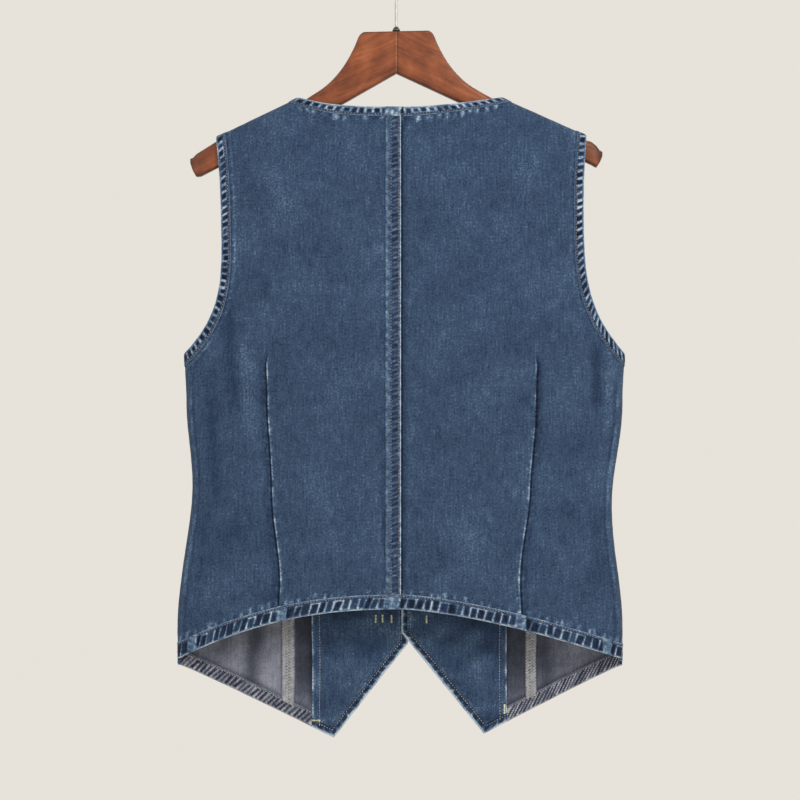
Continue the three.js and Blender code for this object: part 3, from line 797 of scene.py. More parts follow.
def makeBack(name, side, seed, node):
    shape = backShape(side)
    extra = np.concatenate([
        backDart["line"] + dartOffsets / panelReach, middleOffsets / panelReach, 1 - sideOffsets / panelReach])
    s = panelColumns(extra)
    u, z = panelPlaces(shape, s)
    x = side * u
    place, normal = surfaceAt(backCloth, x, z)
    rise = softRise(backCloth, x, z) + fineRise(x, z, seed)
    # The dart: a sharp line that sinks on its outer side, with small pulls across it. Its ridge is pale from
    # wear and painted highlight, and its sunk side gets painted shade, wider higher up on the right back.
    off = (s[None, :] - backDart["line"]) * (panelEnd(side, z) - shape["start"])
    sewn = ease((backDart["top"] - z) / 22)
    pull = pleats(z, np.abs(off), seed, 9.0, 7.0, 0.3) * sewn
    rise += dartRise(off, sewn, pull)
    uneven = np.clip(0.6 + 0.5 * drift(z, z * 0, seed + 2, (10, 34), 6), 0.15, 1.1)
    pale, dark = (0.95, 0.9) if side < 0 else (0.72, 0.8)
    wearAndHighlight = sewn * (pale * uneven * mound(off + 1.0, 0.85) + 0.34 * pull)
    darkWide = 0.9 + 1.1 * ease((z + 600) / 120) * (side > 0)
    shadeAndDarkTone = sewn * (dark * mound(off - 0.7, darkWide) + 0.26 * mound(off - 4, 3.5))
    # Crease ridges get painted highlight, and crease troughs painted shade
    crease = creaseRise(backCloth, x, z)
    wearAndHighlight += 0.13 * np.clip(crease, 0, 2)
    shadeAndDarkTone += 0.17 * np.clip(-crease, 0, 2)
    # Pulls under the neck edge, above the hem and beside the armhole, pale on their ridges, with painted shade
    # between them and along the edges of the bands
    toNeck = np.maximum(0, backNeck(x, cut["neckBand"]) - z)
    toHem = np.maximum(0, z - backHem(x, cut["hemBack"]))
    toArm = np.where(z > sideHeight(cut["armBand"]), armholeAcross(side, z, cut["armBand"]) - u, 99.0)
    toSide = bodyHalf(z) - u
    neckPull = pleats(u, toNeck, seed + 3, panelSizes["pleatPitch"], 8.0, 0.15) * (u < 112)
    hemPull = pleats(u, toHem, seed + 4, panelSizes["pleatPitch"], 7.5, 0.1)
    armPull = pleats(z, np.maximum(0, toArm), seed + 5, panelSizes["pleatPitch"], 6.5, 0.4)
    rise += 0.28 * neckPull + 0.26 * hemPull + 0.22 * armPull
    wearAndHighlight += 1.05 * neckPull + 0.75 * hemPull + 0.3 * armPull
    shadeAndDarkTone += 0.34 * (1 - neckPull) * mound(toNeck - 2, 3.2) * (u < 112)
    shadeAndDarkTone += 0.2 * (1 - hemPull) * mound(toHem - 2, 3)
    wearAndHighlight += 0.24 * mound(toNeck, 1.8) + 0.2 * mound(toHem, 2.0)
    shadeAndDarkTone += 0.3 * mound(toArm, 1.5) + 0.4 * mound(toHem, 1.2) + 0.4 * mound(toNeck, 1.1)
    # Side seam, just inside the outline: a worn pale line, a low ridge, and painted shade along the ridge
    seam = ease((cut["underarm"] - 14 - z) / 40)
    wearAndHighlight += seam * 0.36 * mound(toSide - 5.5, 1.7) * uneven
    rise += seam * 0.4 * mound(toSide - 8.2, 1.6)
    shadeAndDarkTone += seam * 0.26 * mound(toSide - 8.4, 1.3)
    # Beside the lapped seam down the middle: painted shadow right of its fold and painted shade beyond its left
    # edge, with some pale wear
    if side > 0:
        shadeAndDarkTone += 1.0 * mound(u - 1.6, 1.1) + 0.25 * mound(u - 4.5, 3.0)
        rise -= 0.35 * mound(u - 1.6, 1.6)
        wearAndHighlight += 0.14 * mound(u - 7, 3) * uneven
    else:
        shadeAndDarkTone += 0.3 * mound(u - 17.5, 1.6)
        wearAndHighlight += 0.34 * mound(toArm - 4.2, 0.9) * uneven
        wearAndHighlight += 0.1 * mound(u - 21, 3) * uneven
    obj, faces = shell(f"back{name}", place, normal, rise, cut["denim"], clothUv(backCloth, x, z),
                              [denimCloth, reverseCloth, denimCloth], wearAndHighlight, np.clip(shadeAndDarkTone, 0, 1.2))
    keepPiece(obj, "denim", [node])
    return obj


for name, facts in backSheets.items():
    makeBack(name, **facts)
print("back panels ready")

# Turned and stitched edges

edgeRows = {}  # places of the stitch rows, taken from the edges' own meshes


def blots(s, t, facts):
    # Hollows between the ropes of a washed edge, uneven in place, size and depth. The callers sink them and
    # darken them, for the dye that stays dark there and as painted shade.
    # s runs along the edge and t from its fold inwards, both in millimetres.
    dice = np.random.default_rng(facts["seed"])
    near, far = facts["dark"]
    out = np.zeros(np.broadcast(s, t).shape)
    at = float(np.min(s))
    while at < float(np.max(s)) + facts["pitch"]:
        size = facts["pitch"] * dice.uniform(1 - facts["vary"], 1 + facts["vary"])
        half = facts["darkShare"] / 2 * size * dice.uniform(0.85, 1.12)
        lean = facts["lean"] + dice.uniform(-0.14, 0.14)
        depth = dice.uniform(0.55, 1.0)
        first, last = near + dice.uniform(-0.4, 0.6), far + dice.uniform(-0.9, 0.5)
        off = np.abs(s - at - size / 2 - lean * (t - (near + far) / 2)) / half
        inside = ease((t - first) / 1.1 + 0.5) * ease((last - t) / 1.3 + 0.5)
        out = np.maximum(out, depth * ease((1.4 - off) / 0.8) * inside)
        at += size
    return out


def makeBand(name, node, place, normal, across, facts, ring=False, extraWearAndShade=None):
    # A turned edge with roping. across runs from 0 at the fold to the band's width.
    width = facts["width"]
    s, t = arcLength(place[:, middleColumn])[:, None], across[None, :]
    roll = np.sqrt(np.clip(1 - (1 - np.minimum(1, t / facts["roll"])) ** 2, 0.02, 1))
    step = ease((width - t) / 1.2)
    thick = (facts["thick"] * roll) * (0.72 + 0.28 * step) + 0 * s
    near, far = facts["dark"]
    sunk = blots(s, t, facts)
    dark = sunk * np.clip(0.9 + 0.2 * drift(s, t, facts["seed"] + 3, (4, 10)), 0, 1)
    inBand = ease((t - near) / 1.0 + 0.5) * ease((far - t) / 1.2 + 0.5)
    sewn = mound(t - (width - facts["rowIn"]), 0.7)
    rise = (0.2 * inBand - 0.5 * dark) * facts["strength"] - 0.3 * sewn
    rise = rise + 0.12 * drift(s, t, facts["seed"] + 1, (9, 21))
    uneven = 0.8 + 0.22 * drift(s, t * 0, facts["seed"] + 2, (12, 34), 5)
    wearAndHighlight = facts["rib"] * inBand * (1 - np.minimum(1, 1.3 * sunk)) * uneven
    wearAndHighlight = wearAndHighlight + facts["rim"] * mound(t, facts["rimWide"]) * uneven
    wearAndHighlight = wearAndHighlight + facts["ledge"] * mound(t - width + 0.8, 0.8) * (0.3 + 0.7 * uneven)
    # Darker: the ropes' hollows, for their dark dye and as painted shade, and painted shade in the stitch row's
    # groove
    shadeAndDarkTone = facts["strength"] * 0.9 * dark + 0.4 * sewn + facts.get("deep", 0) * inBand
    if extraWearAndShade is not None:
        wearAndHighlight, shadeAndDarkTone, rise = extraWearAndShade(s, t, wearAndHighlight, shadeAndDarkTone, rise)
    rise = rise + facts["soft"]
    uv = np.stack([np.broadcast_to(t, rise.shape), np.broadcast_to(s, rise.shape)], -1)
    obj, faces = shell(name, place, normal, rise, thick, uv,
                              facts.get("materials", turnedMaterials), wearAndHighlight, shadeAndDarkTone, ring)
    keepPiece(obj, "turned_denim", [node])
    edgeRows[name] = {**faces, "across": across, "ring": ring}
    return obj


def arcLength(place):
    return np.concatenate([[0], np.linalg.norm(np.diff(place, axis=0), axis=-1).cumsum()])


acrossShares = np.array([0, 0.03, 0.08, 0.15, 0.24, 0.34, 0.44, 0.54, 0.64, 0.74, 0.82, 0.89, 0.95, 1.0])
middleColumn = len(acrossShares) // 2
turnedMaterials = [turnedDenim, turnedDenim, turnedDenim]

turnedEdge = {"thick": 3.0, "roll": 1.5, "strength": 1.0}
armBandFacts = {
    "Left": {**turnedEdge, "width": 11.0, "seed": 41, "pitch": 7.5, "vary": 0.14, "lean": 0.42,
             "dark": (2.2, 7.6), "darkShare": 0.62, "rib": 0.68, "rim": 0.85, "rimWide": 1.5,
             "ledge": 0.3, "rowIn": 2.4},
    "Right": {**turnedEdge, "width": 11.0, "seed": 43, "pitch": 7.6, "vary": 0.12, "lean": -0.5,
              "dark": (1.9, 7.8), "darkShare": 0.58, "rib": 0.8, "rim": 0.9, "rimWide": 1.4,
              "ledge": 0.22, "rowIn": 2.4},
}


def makeArmBand(name, side, node, facts):
    insets = acrossShares * facts["width"]
    halves = []
    for face in (-1, 1):
        cloth = {"face": face}
        columns = []
        for inset in insets:
            z = armHeights(side, inset, 170, 96, 13)
            columns.append((side * armholeAcross(side, z, inset), z))
        x = np.stack([c[0] for c in columns], 1)
        z = np.stack([c[1] for c in columns], 1)
        place, normal = surfaceAt(cloth, x, z)
        halves.append((place, normal, softRise(cloth, x, z)))
    place = np.concatenate([halves[0][0], halves[1][0][::-1]])
    normal = np.concatenate([halves[0][1], halves[1][1][::-1]])
    facts["soft"] = np.concatenate([halves[0][2], halves[1][2][::-1]])
    makeBand(f"armholeBand{name}", node, place, normal, insets, facts, ring=True)


makeArmBand("Left", -1, "armhole_band_left", armBandFacts["Left"])
makeArmBand("Right", 1, "armhole_band_right", armBandFacts["Right"])

neckFacts = {**turnedEdge, "width": 10.6, "seed": 51, "pitch": 8.4, "vary": 0.1, "lean": 0.08,
             "dark": (2.3, 7.1), "darkShare": 0.62, "rib": 0.72, "rim": 1.05, "rimWide": 1.7, "ledge": 0.4,
             "rowIn": 2.5}


def makeNeckBand(facts):
    shares = np.linspace(0, 1, 126) ** 0.9
    shares = np.concatenate([shares[:-1], np.linspace(shares[-2], 1, 7)[1:]])
    both = np.concatenate([-shares[::-1], shares[1:]])
    insets = acrossShares * facts["width"]
    x = np.stack([both * (cut["neckHalf"] + inset) for inset in insets], 1)
    z = np.stack([backNeck(both * (cut["neckHalf"] + inset), inset) for inset in insets], 1)
    place, normal = surfaceAt(backCloth, x, z)
    facts["soft"] = softRise(backCloth, x, z)

    def seamPatch(s, t, wearAndHighlight, shadeAndDarkTone, rise):
        # Where the centre seam crosses the band: a pale worn patch and fold line, and a painted shadow right of
        # the fold
        patch = ease((x + 17) / 2) * ease((1.6 - x) / 1.2)
        fold = mound(x - 0.6, 0.8)
        wearAndHighlight = mix(wearAndHighlight, 0.42 + 0.25 * drift(x, z, 5, (5, 11)), patch) + 0.55 * fold
        return wearAndHighlight, shadeAndDarkTone * (1 - patch) + 0.8 * mound(x - 2.6, 0.9), rise + 0.5 * patch

    makeBand("backNeckHem", "back_neck_band", place, normal, insets, facts,
             extraWearAndShade=seamPatch)


makeNeckBand(neckFacts)

backHemFacts = {**turnedEdge, "width": 16.0, "roll": 1.6, "seed": 61, "pitch": 8.2, "vary": 0.2, "lean": 0.3,
                "dark": (1.9, 12.2),
                "darkShare": 0.8, "rib": 1.0, "rim": 0.95, "rimWide": 1.5, "ledge": 0.6, "rowIn": 2.4,
                "strength": 0.84}


def makeBackHem(facts):
    k = np.linspace(0, 1, 250)
    shares = 0.75 * k + 0.25 * (1 - (1 - k) ** 2.6)
    insets = acrossShares * facts["width"]
    xs, zs = [], []
    for inset in insets:
        sides = []
        for side in (-1, 1):
            z = settle(lambda u: backHem(side * u, inset), lambda h: bodyHalf(h) * shares,
                       np.full(shares.shape, cut["sideBack"]))
            sides.append((side * bodyHalf(z) * shares, z))
        xs.append(np.concatenate([sides[0][0][::-1], sides[1][0][1:]]))
        zs.append(np.concatenate([sides[0][1][::-1], sides[1][1][1:]]))
    x, z = np.stack(xs, 1), np.stack(zs, 1)
    place, normal = surfaceAt(backCloth, x, z)
    facts["soft"] = softRise(backCloth, x, z)
    lumps = [(-8.0, 8.5), (-126.5, 6.0), (128.5, 6.5), (-222.0, 6.0), (221.0, 5.5)]  # seams turned into the hem

    def seamPatches(s, t, wearAndHighlight, shadeAndDarkTone, rise):
        for middle, half in lumps:
            patch = ease((x - middle + half) / 1.6) * ease((middle + half - x) / 1.6)
            wearAndHighlight = mix(wearAndHighlight, 0.36 + 0.2 * drift(x, z, 6, (5, 12)), 0.85 * patch)
            # Painted shade along the side of each turned-in seam
            shadeAndDarkTone = shadeAndDarkTone * (1 - 0.8 * patch) + 0.4 * mound(x - middle - half - 1, 1.2)
            rise = rise + 0.55 * patch
        return wearAndHighlight, shadeAndDarkTone, rise

    makeBand("backHem", "back_hem", place, normal, insets, facts,
             extraWearAndShade=seamPatches)


makeBackHem(backHemFacts)
print("back edges ready")

# Lapped seam down the middle of the back

lapFacts = {"right": 1.1, "left": -15.6, "thick": 1.1, "offset": 1.3, "seed": 71, "columns": 27,
            "pitch": 5.8, "lean": 0.3,
            "dark": (3.2, 10.2), "darkShare": 0.58, "vary": 0.3, "rows": (2.4, 10.6)}


def makeLapSeam(facts):
    shares = np.linspace(0, 1, 480)
    x = np.linspace(facts["right"], facts["left"], facts["columns"])[None, :] + 0 * shares[:, None]
    low = backHem(x, cut["hemBack"] - 0.4)
    high = backNeck(x, cut["neckBand"] - 0.4)
    z = low + shares[:, None] * (high - low)
    place, normal = surfaceAt(backCloth, x, z)
    u = facts["right"] - x  # from the crisp fold to the other edge
    width = facts["right"] - facts["left"]
    dark = blots(-z, u, facts)
    rows = mound(u - facts["rows"][0], 0.7) + mound(u - facts["rows"][1], 0.7)
    rough = drift(x, z, facts["seed"] + 1, (5, 12), 9)
    rise = -0.4 * dark - 0.24 * rows + 0.1 * rough + 0.35 * mound(u - 0.6, 0.9)
    rise -= 0.4 * ease((u - width + 1.2) / 1.2)
    wearAndHighlight = 0.13 * np.clip(1 - 1.2 * dark, 0, 1) + 0.74 * mound(u - 0.6, 0.7) + 0.12 * rough
    wearAndHighlight += 0.12 * mound(u - width + 1.6, 1.3)
    # Darker in the ropes' hollows, for their dark dye and as painted shade, and painted shade in the grooves of
    # the two stitch rows
    shadeAndDarkTone = 0.66 * dark * np.clip(0.72 + 0.5 * rough, 0, 1) + 0.3 * rows
    rise = rise + softRise(backCloth, x, z)
    obj, faces = shell("centreBackSeam", place, normal, rise, facts["thick"],
                              clothUv(backCloth, x, z), turnedMaterials, wearAndHighlight, np.clip(shadeAndDarkTone, 0, 1),
                              offset=facts["offset"])
    keepPiece(obj, "turned_denim", ["centre_back_seam"])
    edgeRows["centreBackSeam"] = {**faces, "across": facts["right"] - x[0], "ring": False}


makeLapSeam(lapFacts)
print("centre back seam ready")

# Fronts, with their facings, dart folds, stitched edges and hems

frontSheets = {
    "Left": {"panel": "front_left", "facing": "facing_left", "dart": "front_dart_left",
             "edge": "front_edge_left", "hem": "front_hem_left", "seed": 81,
             "stripHalf": 7.0, "lift": 4.2, "facingShadow": 0.7, "shade": 0.0},
    "Right": {"panel": "front_right", "facing": "facing_right", "dart": "front_dart_right",
              "edge": "front_edge_right", "hem": "front_hem_right", "seed": 91, "stripHalf": 6.0, "lift": 2.4,
              "facingShadow": 0.44, "shade": 0.16},
}
frontDartTop = -440.0


def frontShape(front):
    inset = cut["edgeBand"] - tuckUnder
    hemInset = cut["hemFront"] - tuckUnder
    side = front["side"]
    neckEnd = cut["neckHalf"] + inset

    def top(u):
        return np.where(u < neckEnd, frontNeckHeight(front, u, inset), ridge(side * u))

    def bottom(u):
        turned = np.where(u < front["facing"], inset, hemInset)
        return np.maximum(slant(front, u, inset), frontHem(front, u, turned))

    return {"side": side, "start": front["edge"] + inset, "bend": 3, "shift": lambda z: 0 * z,
            "top": top, "bottom": bottom}


def makeFront(name, front, facts):
    side, seed = front["side"], facts["seed"]
    cloth = {"face": 1, "lap": front["lap"]}
    shape = frontShape(front)
    start = shape["start"]

    def atHem(u):
        return float((u - start) / (bodyHalf(shape["bottom"](np.asarray(float(u)))) - start))

    dartShare = atHem(front["dart"])
    facingShare = atHem(front["facing"] - 0.5)
    tip = atHem(tipAcross(front, cut["edgeBand"] - tuckUnder))
    extra = np.concatenate([
        dartShare + dartOffsets / panelReach, facingShare + facingOffsets / panelReach,
        [tip - 0.004, tip, tip + 0.004], 1 - sideOffsets / panelReach])
    s = panelColumns(extra)
    u, z = panelPlaces(shape, s)
    x = side * u
    place, normal = surfaceAt(cloth, x, z)
    base = softRise(cloth, x, z)
    rise = base + fineRise(x, z, seed)
    off = (s[None, :] - dartShare) * (panelEnd(side, z) - start)
    sewn = ease((frontDartTop - z) / 50)
    pull = pleats(z, np.abs(off), seed, 9.0, 7.0, 0.3) * sewn
    uneven = 0.6 + 0.4 * drift(z, z * 0, seed + 2, (14, 40), 5)
    rise += dartRise(off, sewn, pull)
    # The dart's ridge is pale from wear and painted highlight, and its sunk side gets painted shade
    wearAndHighlight = sewn * (0.62 * uneven * mound(off + 0.9, 0.75) + 0.12 * pull)
    shadeAndDarkTone = sewn * (0.95 * mound(off - 0.7, 0.85) + 0.2 * mound(off - 4, 3.5))
    toNeck = np.maximum(0, frontNeckHeight(front, u, cut["edgeBand"]) - z)
    hemInset = np.where(u < front["facing"], cut["edgeBand"], cut["hemFront"])
    toHem = np.maximum(0, z - np.maximum(slant(front, u, cut["edgeBand"]), frontHem(front, u, hemInset)))
    toArm = np.where(z > sideHeight(cut["armBand"]), armholeAcross(side, z, cut["armBand"]) - u, 99.0)
    toSide = bodyHalf(z) - u
    toEdge = np.maximum(0, u - front["edge"] - cut["edgeBand"])
    neckPull = pleats(z, np.minimum(toEdge, toNeck / 2.6), seed + 3, 9.0, 6.0, 0.3)
    hemPull = pleats(u, toHem, seed + 4, 8.6, 7.0, 0.1)
    armPull = pleats(z, np.maximum(0, toArm), seed + 5, 8.6, 6.5, 0.4)
    rise += 0.2 * neckPull + 0.24 * hemPull + 0.22 * armPull
    wearAndHighlight += 0.18 * neckPull + 0.2 * hemPull + 0.16 * armPull + 0.16 * mound(toHem, 1.8)
    # Painted shade along the edges of the armhole band and the hem
    shadeAndDarkTone += 0.3 * mound(toArm, 1.3) + 0.3 * mound(toHem, 0.9)
    seam = ease((cut["underarm"] - 14 - z) / 40)
    wearAndHighlight += seam * 0.3 * mound(toSide - 7.6, 0.9) * uneven
    rise += seam * 0.4 * mound(toSide - 8.2, 1.6)
    # Inside, painted shade: all over the right front, a painted shadow of the lifted facing beside its free
    # edge, and more along the hem and in crease troughs; crease ridges get painted highlight
    beyond = u - (start + (panelEnd(side, z) - start) * facingShare)
    toStrip = off + facts["stripHalf"]
    facingShadow = ease((beyond + 2) / 3) * ease((1.5 - toStrip) / 4) * ease((z + 815) / 60)
    insideShade = facts["shade"] + facts["facingShadow"] * facingShadow + 0.28 * mound(toHem - 1, 3)
    insideShade = insideShade + 0.3 * np.clip(-creaseRise(cloth, x, z), 0, 1.6) * ease((z + 850) / 60)
    insideHighlight = 0.2 * np.clip(creaseRise(cloth, x, z), 0, 1.4)
    obj, faces = shell(f"front{name}", place, normal, rise, cut["denim"], clothUv(cloth, x, z),
                              [denimCloth, reverseCloth, denimCloth], wearAndHighlight, np.clip(shadeAndDarkTone, 0, 1.2))
    half = len(obj.data.vertices) // 2
    for key, inside in (("wearAndHighlight", insideHighlight), ("shadeAndDarkTone", np.clip(insideShade, 0, 1.2))):
        layer = obj.data.attributes[key]
        both = np.zeros(2 * half, np.float32)
        layer.data.foreach_get("value", both)
        both[half:] = np.asarray(inside, np.float32).ravel()
        layer.data.foreach_set("value", both)
    keepPiece(obj, "denim", [facts["panel"]])
    makeFacing(name, front, facts, {**shape, "bend": 1}, facingShare)
    makeDartFold(name, front, facts, shape, dartShare)
    makeFrontEdge(name, front, facts)
    makeFrontHem(name, front, facts)


def makeFacing(name, front, facts, shape, share):
    # The facing lies inside the front, and its free edge stands a little off it
    k = np.linspace(0, 1, 34)
    s = np.unique(np.concatenate([share * k, share * (1 - np.array([0.4, 0.9, 1.6, 2.6, 4]) / 90)]))
    u, z = panelPlaces(shape, s)
    cloth = {"face": 1, "lap": front["lap"]}
    place, normal = surfaceAt(cloth, front["side"] * u, z)
    toFree = (panelEnd(front["side"], z) - shape["start"]) * (share - s[None, :])
    bottom = shape["bottom"](u)
    lift = facts["lift"] * ease((z - bottom - 4) / 70) * ease((-440 - z) / 90) * ease((26 - toFree) / 26) ** 1.5
    lift = lift * (0.85 + 0.15 * drift(z, z * 0, facts["seed"] + 8, (40, 90), 4))
    x = front["side"] * u
    rise = softRise(cloth, x, z) - lift + 0.1 * drift(x, z, facts["seed"] + 9, (12, 30))
    row = mound(toFree - 7.6, 0.7)
    rise += 0.25 * row - 0.25 * mound(toFree - 0.7, 0.8)
    uneven = 0.65 + 0.35 * drift(z, z * 0, facts["seed"] + 7, (12, 34), 5)
    wearAndHighlight = 1.1 * uneven * mound(toFree - 0.5, 1.1) + 0.1 * mound(toFree - 5, 3)
    wearAndHighlight = wearAndHighlight + 0.1 * drift(x, z, facts["seed"] + 6, (24, 60), 6)
    toRim = np.minimum(u - shape["start"], (z - bottom) * 0.65)
    wearAndHighlight = wearAndHighlight + 0.4 * uneven * mound(toRim - 3.2, 1.0)
    rimPull = pleats(z, np.maximum(0, toRim), facts["seed"] + 14, 7.5, 10.0, 0.7)
    wearAndHighlight = wearAndHighlight + 0.3 * rimPull
    rise -= 0.14 * rimPull
    # Painted shade in the stitch row's groove, over the facing's upper part, along its stitched rim and near its
    # foot
    shadeAndDarkTone = 0.3 * row + 0.18 * ease((z - bottom - 60) / 80) + 0.5 * mound(toRim - 0.8, 1.1)
    shadeAndDarkTone = shadeAndDarkTone + 0.25 * mound(z - bottom - 3, 5)
    obj, faces = shell(f"facing{name}", place, normal, rise, cut["facingDenim"], clothUv(cloth, x, z),
                              [reverseCloth, denimCloth, denimCloth], wearAndHighlight, np.clip(shadeAndDarkTone, 0, 1),
                              offset=cut["facingSet"])
    keepPiece(obj, "denim", [facts["facing"]])
    edgeRows[f"facing{name}"] = {**faces, "across": toFree[len(z) // 4], "ring": False}


def makeDartFold(name, front, facts, shape, share):
    # The folded cloth of the dart, overlocked together, standing inside the front
    half = facts["stripHalf"]
    reach = (panelEnd(front["side"], np.asarray(-700.0)) - shape["start"])
    s = share + np.linspace(-half, half, 19) / reach
    u, z = panelPlaces(shape, s)
    keep = z[:, 9] < frontDartTop
    u, z = u[keep], z[keep]
    cloth = {"face": 1, "lap": front["lap"]}
    x = front["side"] * u
    place, normal = surfaceAt(cloth, x, z)
    # narrows to a point at its top
    t = (s - share)[None, :] / (half / reach)
    taper = ease((frontDartTop - z) / 120) * 0.9 + 0.1
    rise = softRise(cloth, x, z) - 0.9 * (1 - t ** 2) * taper
    rise = rise + 0.14 * drift(x, z, facts["seed"] + 12, (6, 16), 8)
    rise = rise + 0.3 * mound(t + 0.05, 0.16)
    wearAndHighlight = 0.26 + 0.16 * drift(x, z, facts["seed"] + 13, (5, 12), 8) + 0.2 * mound(t - 0.9, 0.2)
    # Painted shade along the fold's middle and along both its edges
    shadeAndDarkTone = 0.45 * mound(t + 0.05, 0.1) + 0.35 * mound(np.abs(t) - 1.0, 0.12)
    obj, faces = shell(f"dartFold{name}", place, normal, rise, cut["facingDenim"], clothUv(cloth, x, z),
                              [reverseCloth, reverseCloth, reverseCloth], wearAndHighlight, shadeAndDarkTone, offset=cut["facingSet"])
    keepPiece(obj, "denim_reverse", [facts["dart"]])
    edgeRows[f"dartFold{name}"] = {**faces, "across": t[0], "ring": False}


def makeFrontEdge(name, front, facts):
    # Down the V, down the edge, along the slant and round the point
    side, width = front["side"], cut["edgeBand"]
    cloth = {"face": 1, "lap": front["lap"]}
    insets = acrossShares * width
    neckLength = float(ridge(side * cut["neckHalf"])) - cut["vBreak"]
    turn = cut["ridgeRadius"] * (1 - np.cos(np.radians(np.linspace(0, 90, 12))))
    fold = (1 - turn / neckLength) ** (1 / cut["neckPower"])
    neckT = np.concatenate([fold, np.linspace(fold[-1], 0, 250)[1:]])
    us, zs = [], []
    for inset in insets:
        neckU, neckZ = frontNeck(front, neckT, inset)
        down = np.linspace(0, 1, 300)[1:-1]
        edge = front["edge"] + inset
        corner = float(slant(front, edge, inset))
        downZ = neckZ[-1] + down * (corner - neckZ[-1])
        slantEnd = tipAcross(front, inset)
        slantU = np.linspace(edge, slantEnd, 120)
        hemU = np.linspace(slantEnd, front["facing"] - 0.1, 26)[1:]
        us.append(np.concatenate([neckU, 0 * down + edge, slantU, hemU]))
        zs.append(np.concatenate([neckZ, downZ, slant(front, slantU, inset), frontHem(front, hemU, inset)]))
    u, z = np.stack(us, 1), np.stack(zs, 1)
    place, normal = surfaceAt(cloth, side * u, z)
    edgeFacts = {**turnedEdge, "width": width, "roll": 1.4, "seed": facts["seed"] + 20, "pitch": 9.0,
                 "vary": 0.2, "lean": 0.5, "dark": (2.2, 6.2), "darkShare": 0.7, "rib": 0.42,
                 "rim": 1.3, "rimWide": 2.5, "ledge": 0.3, "rowIn": 1.9, "strength": 0.5, "deep": 0.16,
                 "soft": softRise(cloth, side * u, z)}
    makeBand(f"frontEdge{name}", facts["edge"], place, normal, insets, edgeFacts)


def makeFrontHem(name, front, facts):
    side, width = front["side"], cut["hemFront"]
    cloth = {"face": 1, "lap": front["lap"]}
    insets = acrossShares * width
    k = np.linspace(0, 1, 210)
    f = 0.8 * k + 0.2 * (1 - (1 - k) ** 2.6)
    us, zs = [], []
    for inset in insets:
        z = settle(lambda a: frontHem(front, a, inset), lambda h: front["facing"] + 0.1 + f * (
            bodyHalf(h) - front["facing"] - 0.1), np.full(f.shape, cut["sideBack"]))
        us.append(front["facing"] + 0.1 + f * (bodyHalf(z) - front["facing"] - 0.1))
        zs.append(z)
    u, z = np.stack(us, 1), np.stack(zs, 1)
    place, normal = surfaceAt(cloth, side * u, z)
    hemFacts = {**turnedEdge, "width": width, "roll": 1.6, "seed": facts["seed"] + 30, "pitch": 5.2,
                "vary": 0.15, "lean": 0.9 * side, "dark": (1.4, 12.6), "darkShare": 0.66, "rib": 0.85,
                "rim": 0.7, "rimWide": 1.3, "ledge": 0.3, "rowIn": 2.2, "strength": 0.95,
                "materials": [turnedDenim, hemInside, turnedDenim], "soft": softRise(cloth, side * u, z)}
    makeBand(f"frontHem{name}", facts["hem"], place, normal, insets, hemFacts)


hemInsideLook = {
    **turnedLook,
    "stops": [(0.0, paint(26, 28, 38)), (0.33, paint(58, 64, 82)), (0.52, paint(92, 98, 114)),
              (0.7, paint(128, 132, 146)), (1.0, paint(176, 178, 186))],
    "level": 0.5,
}
hemInside = clothMaterial("turnedHemInside", hemInsideLook)

for name, front in fronts.items():
    makeFront(name, front, frontSheets[name])
print("fronts ready")

# Sewing: each row of thread is one path, and a node tree sets the stitches along it

sewing = {
    "topstitching": {"pitch": 3.2, "length": 2.4, "radius": 0.44, "lay": 6.0, "zigzag": 0.0, "seed": 3,
                     "material": tanThread},
    "paleTopstitching": {"pitch": 3.1, "length": 2.3, "radius": 0.38, "lay": 4.0, "zigzag": 0.0, "seed": 5,
                         "material": paleThread},
    "overlock": {"pitch": 1.7, "length": 5.0, "radius": 0.42, "lay": 78.0, "zigzag": 26.0, "seed": 9,
                 "material": paleThread},
    "buttonholeEdges": {"pitch": 0.8, "length": 2.2, "radius": 0.36, "lay": 88.0, "zigzag": 5.0, "seed": 17,
                        "material": blueThread},
    "buttonholeTan": {"pitch": 0.7, "length": 2.6, "radius": 0.4, "lay": 88.0, "zigzag": 5.0, "seed": 19,
                      "material": tanThread},
    "bartacks": {"pitch": 0.62, "length": 2.5, "radius": 0.4, "lay": 84.0, "zigzag": 9.0, "seed": 13,
                 "material": barThread},
}
threadPaths = {key: [] for key in sewing}


def rowOn(name, t, face="outer", lift=0.1):
    # A path on a piece's own mesh, at the distance t from its fold
    row = edgeRows[name]
    across = np.asarray(row["across"], float)
    order = np.argsort(across)
    column = np.interp(t, across[order], order.astype(float))
    first = int(np.clip(math.floor(column), 0, len(across) - 2))
    share = column - first
    outward = 1 if face == "outer" else -1
    place = mix(row[face][:, first], row[face][:, first + 1], share)
    normal = mix(row["normal"][:, first], row["normal"][:, first + 1], share) * outward
    if row["ring"]:
        place, normal = np.concatenate([place, place[:1]]), np.concatenate([normal, normal[:1]])
    return place + normal * lift, normal


def sew(style, path):
    threadPaths[style].append(path)


def castOnto(key, x, z, face, lift=0.15):
    # The place on a piece straight behind or before a point, face being the side that it is seen from
    if key not in castTrees:
        castTrees[key] = BVHTree.FromObject(pieces[key]["object"], bpy.context.evaluated_depsgraph_get())
    tree = castTrees[key]
    origin = Vector(((x + garmentShift) * mm, face * 0.3, z * mm))
    place, normal, index, far = tree.ray_cast(origin, Vector((0, -face, 0)))
    if normal.y * face < 0:
        normal.negate()
    place = np.array(place) / mm + np.array(normal) * lift
    place[0] -= garmentShift
    return place, np.array(normal)


castTrees = {}


def castPath(key, start, end, face, count=12):
    points = [castOnto(key, mix(start[0], end[0], k), mix(start[1], end[1], k), face)
              for k in np.linspace(0, 1, count)]
    return np.array([p[0] for p in points]), np.array([p[1] for p in points])


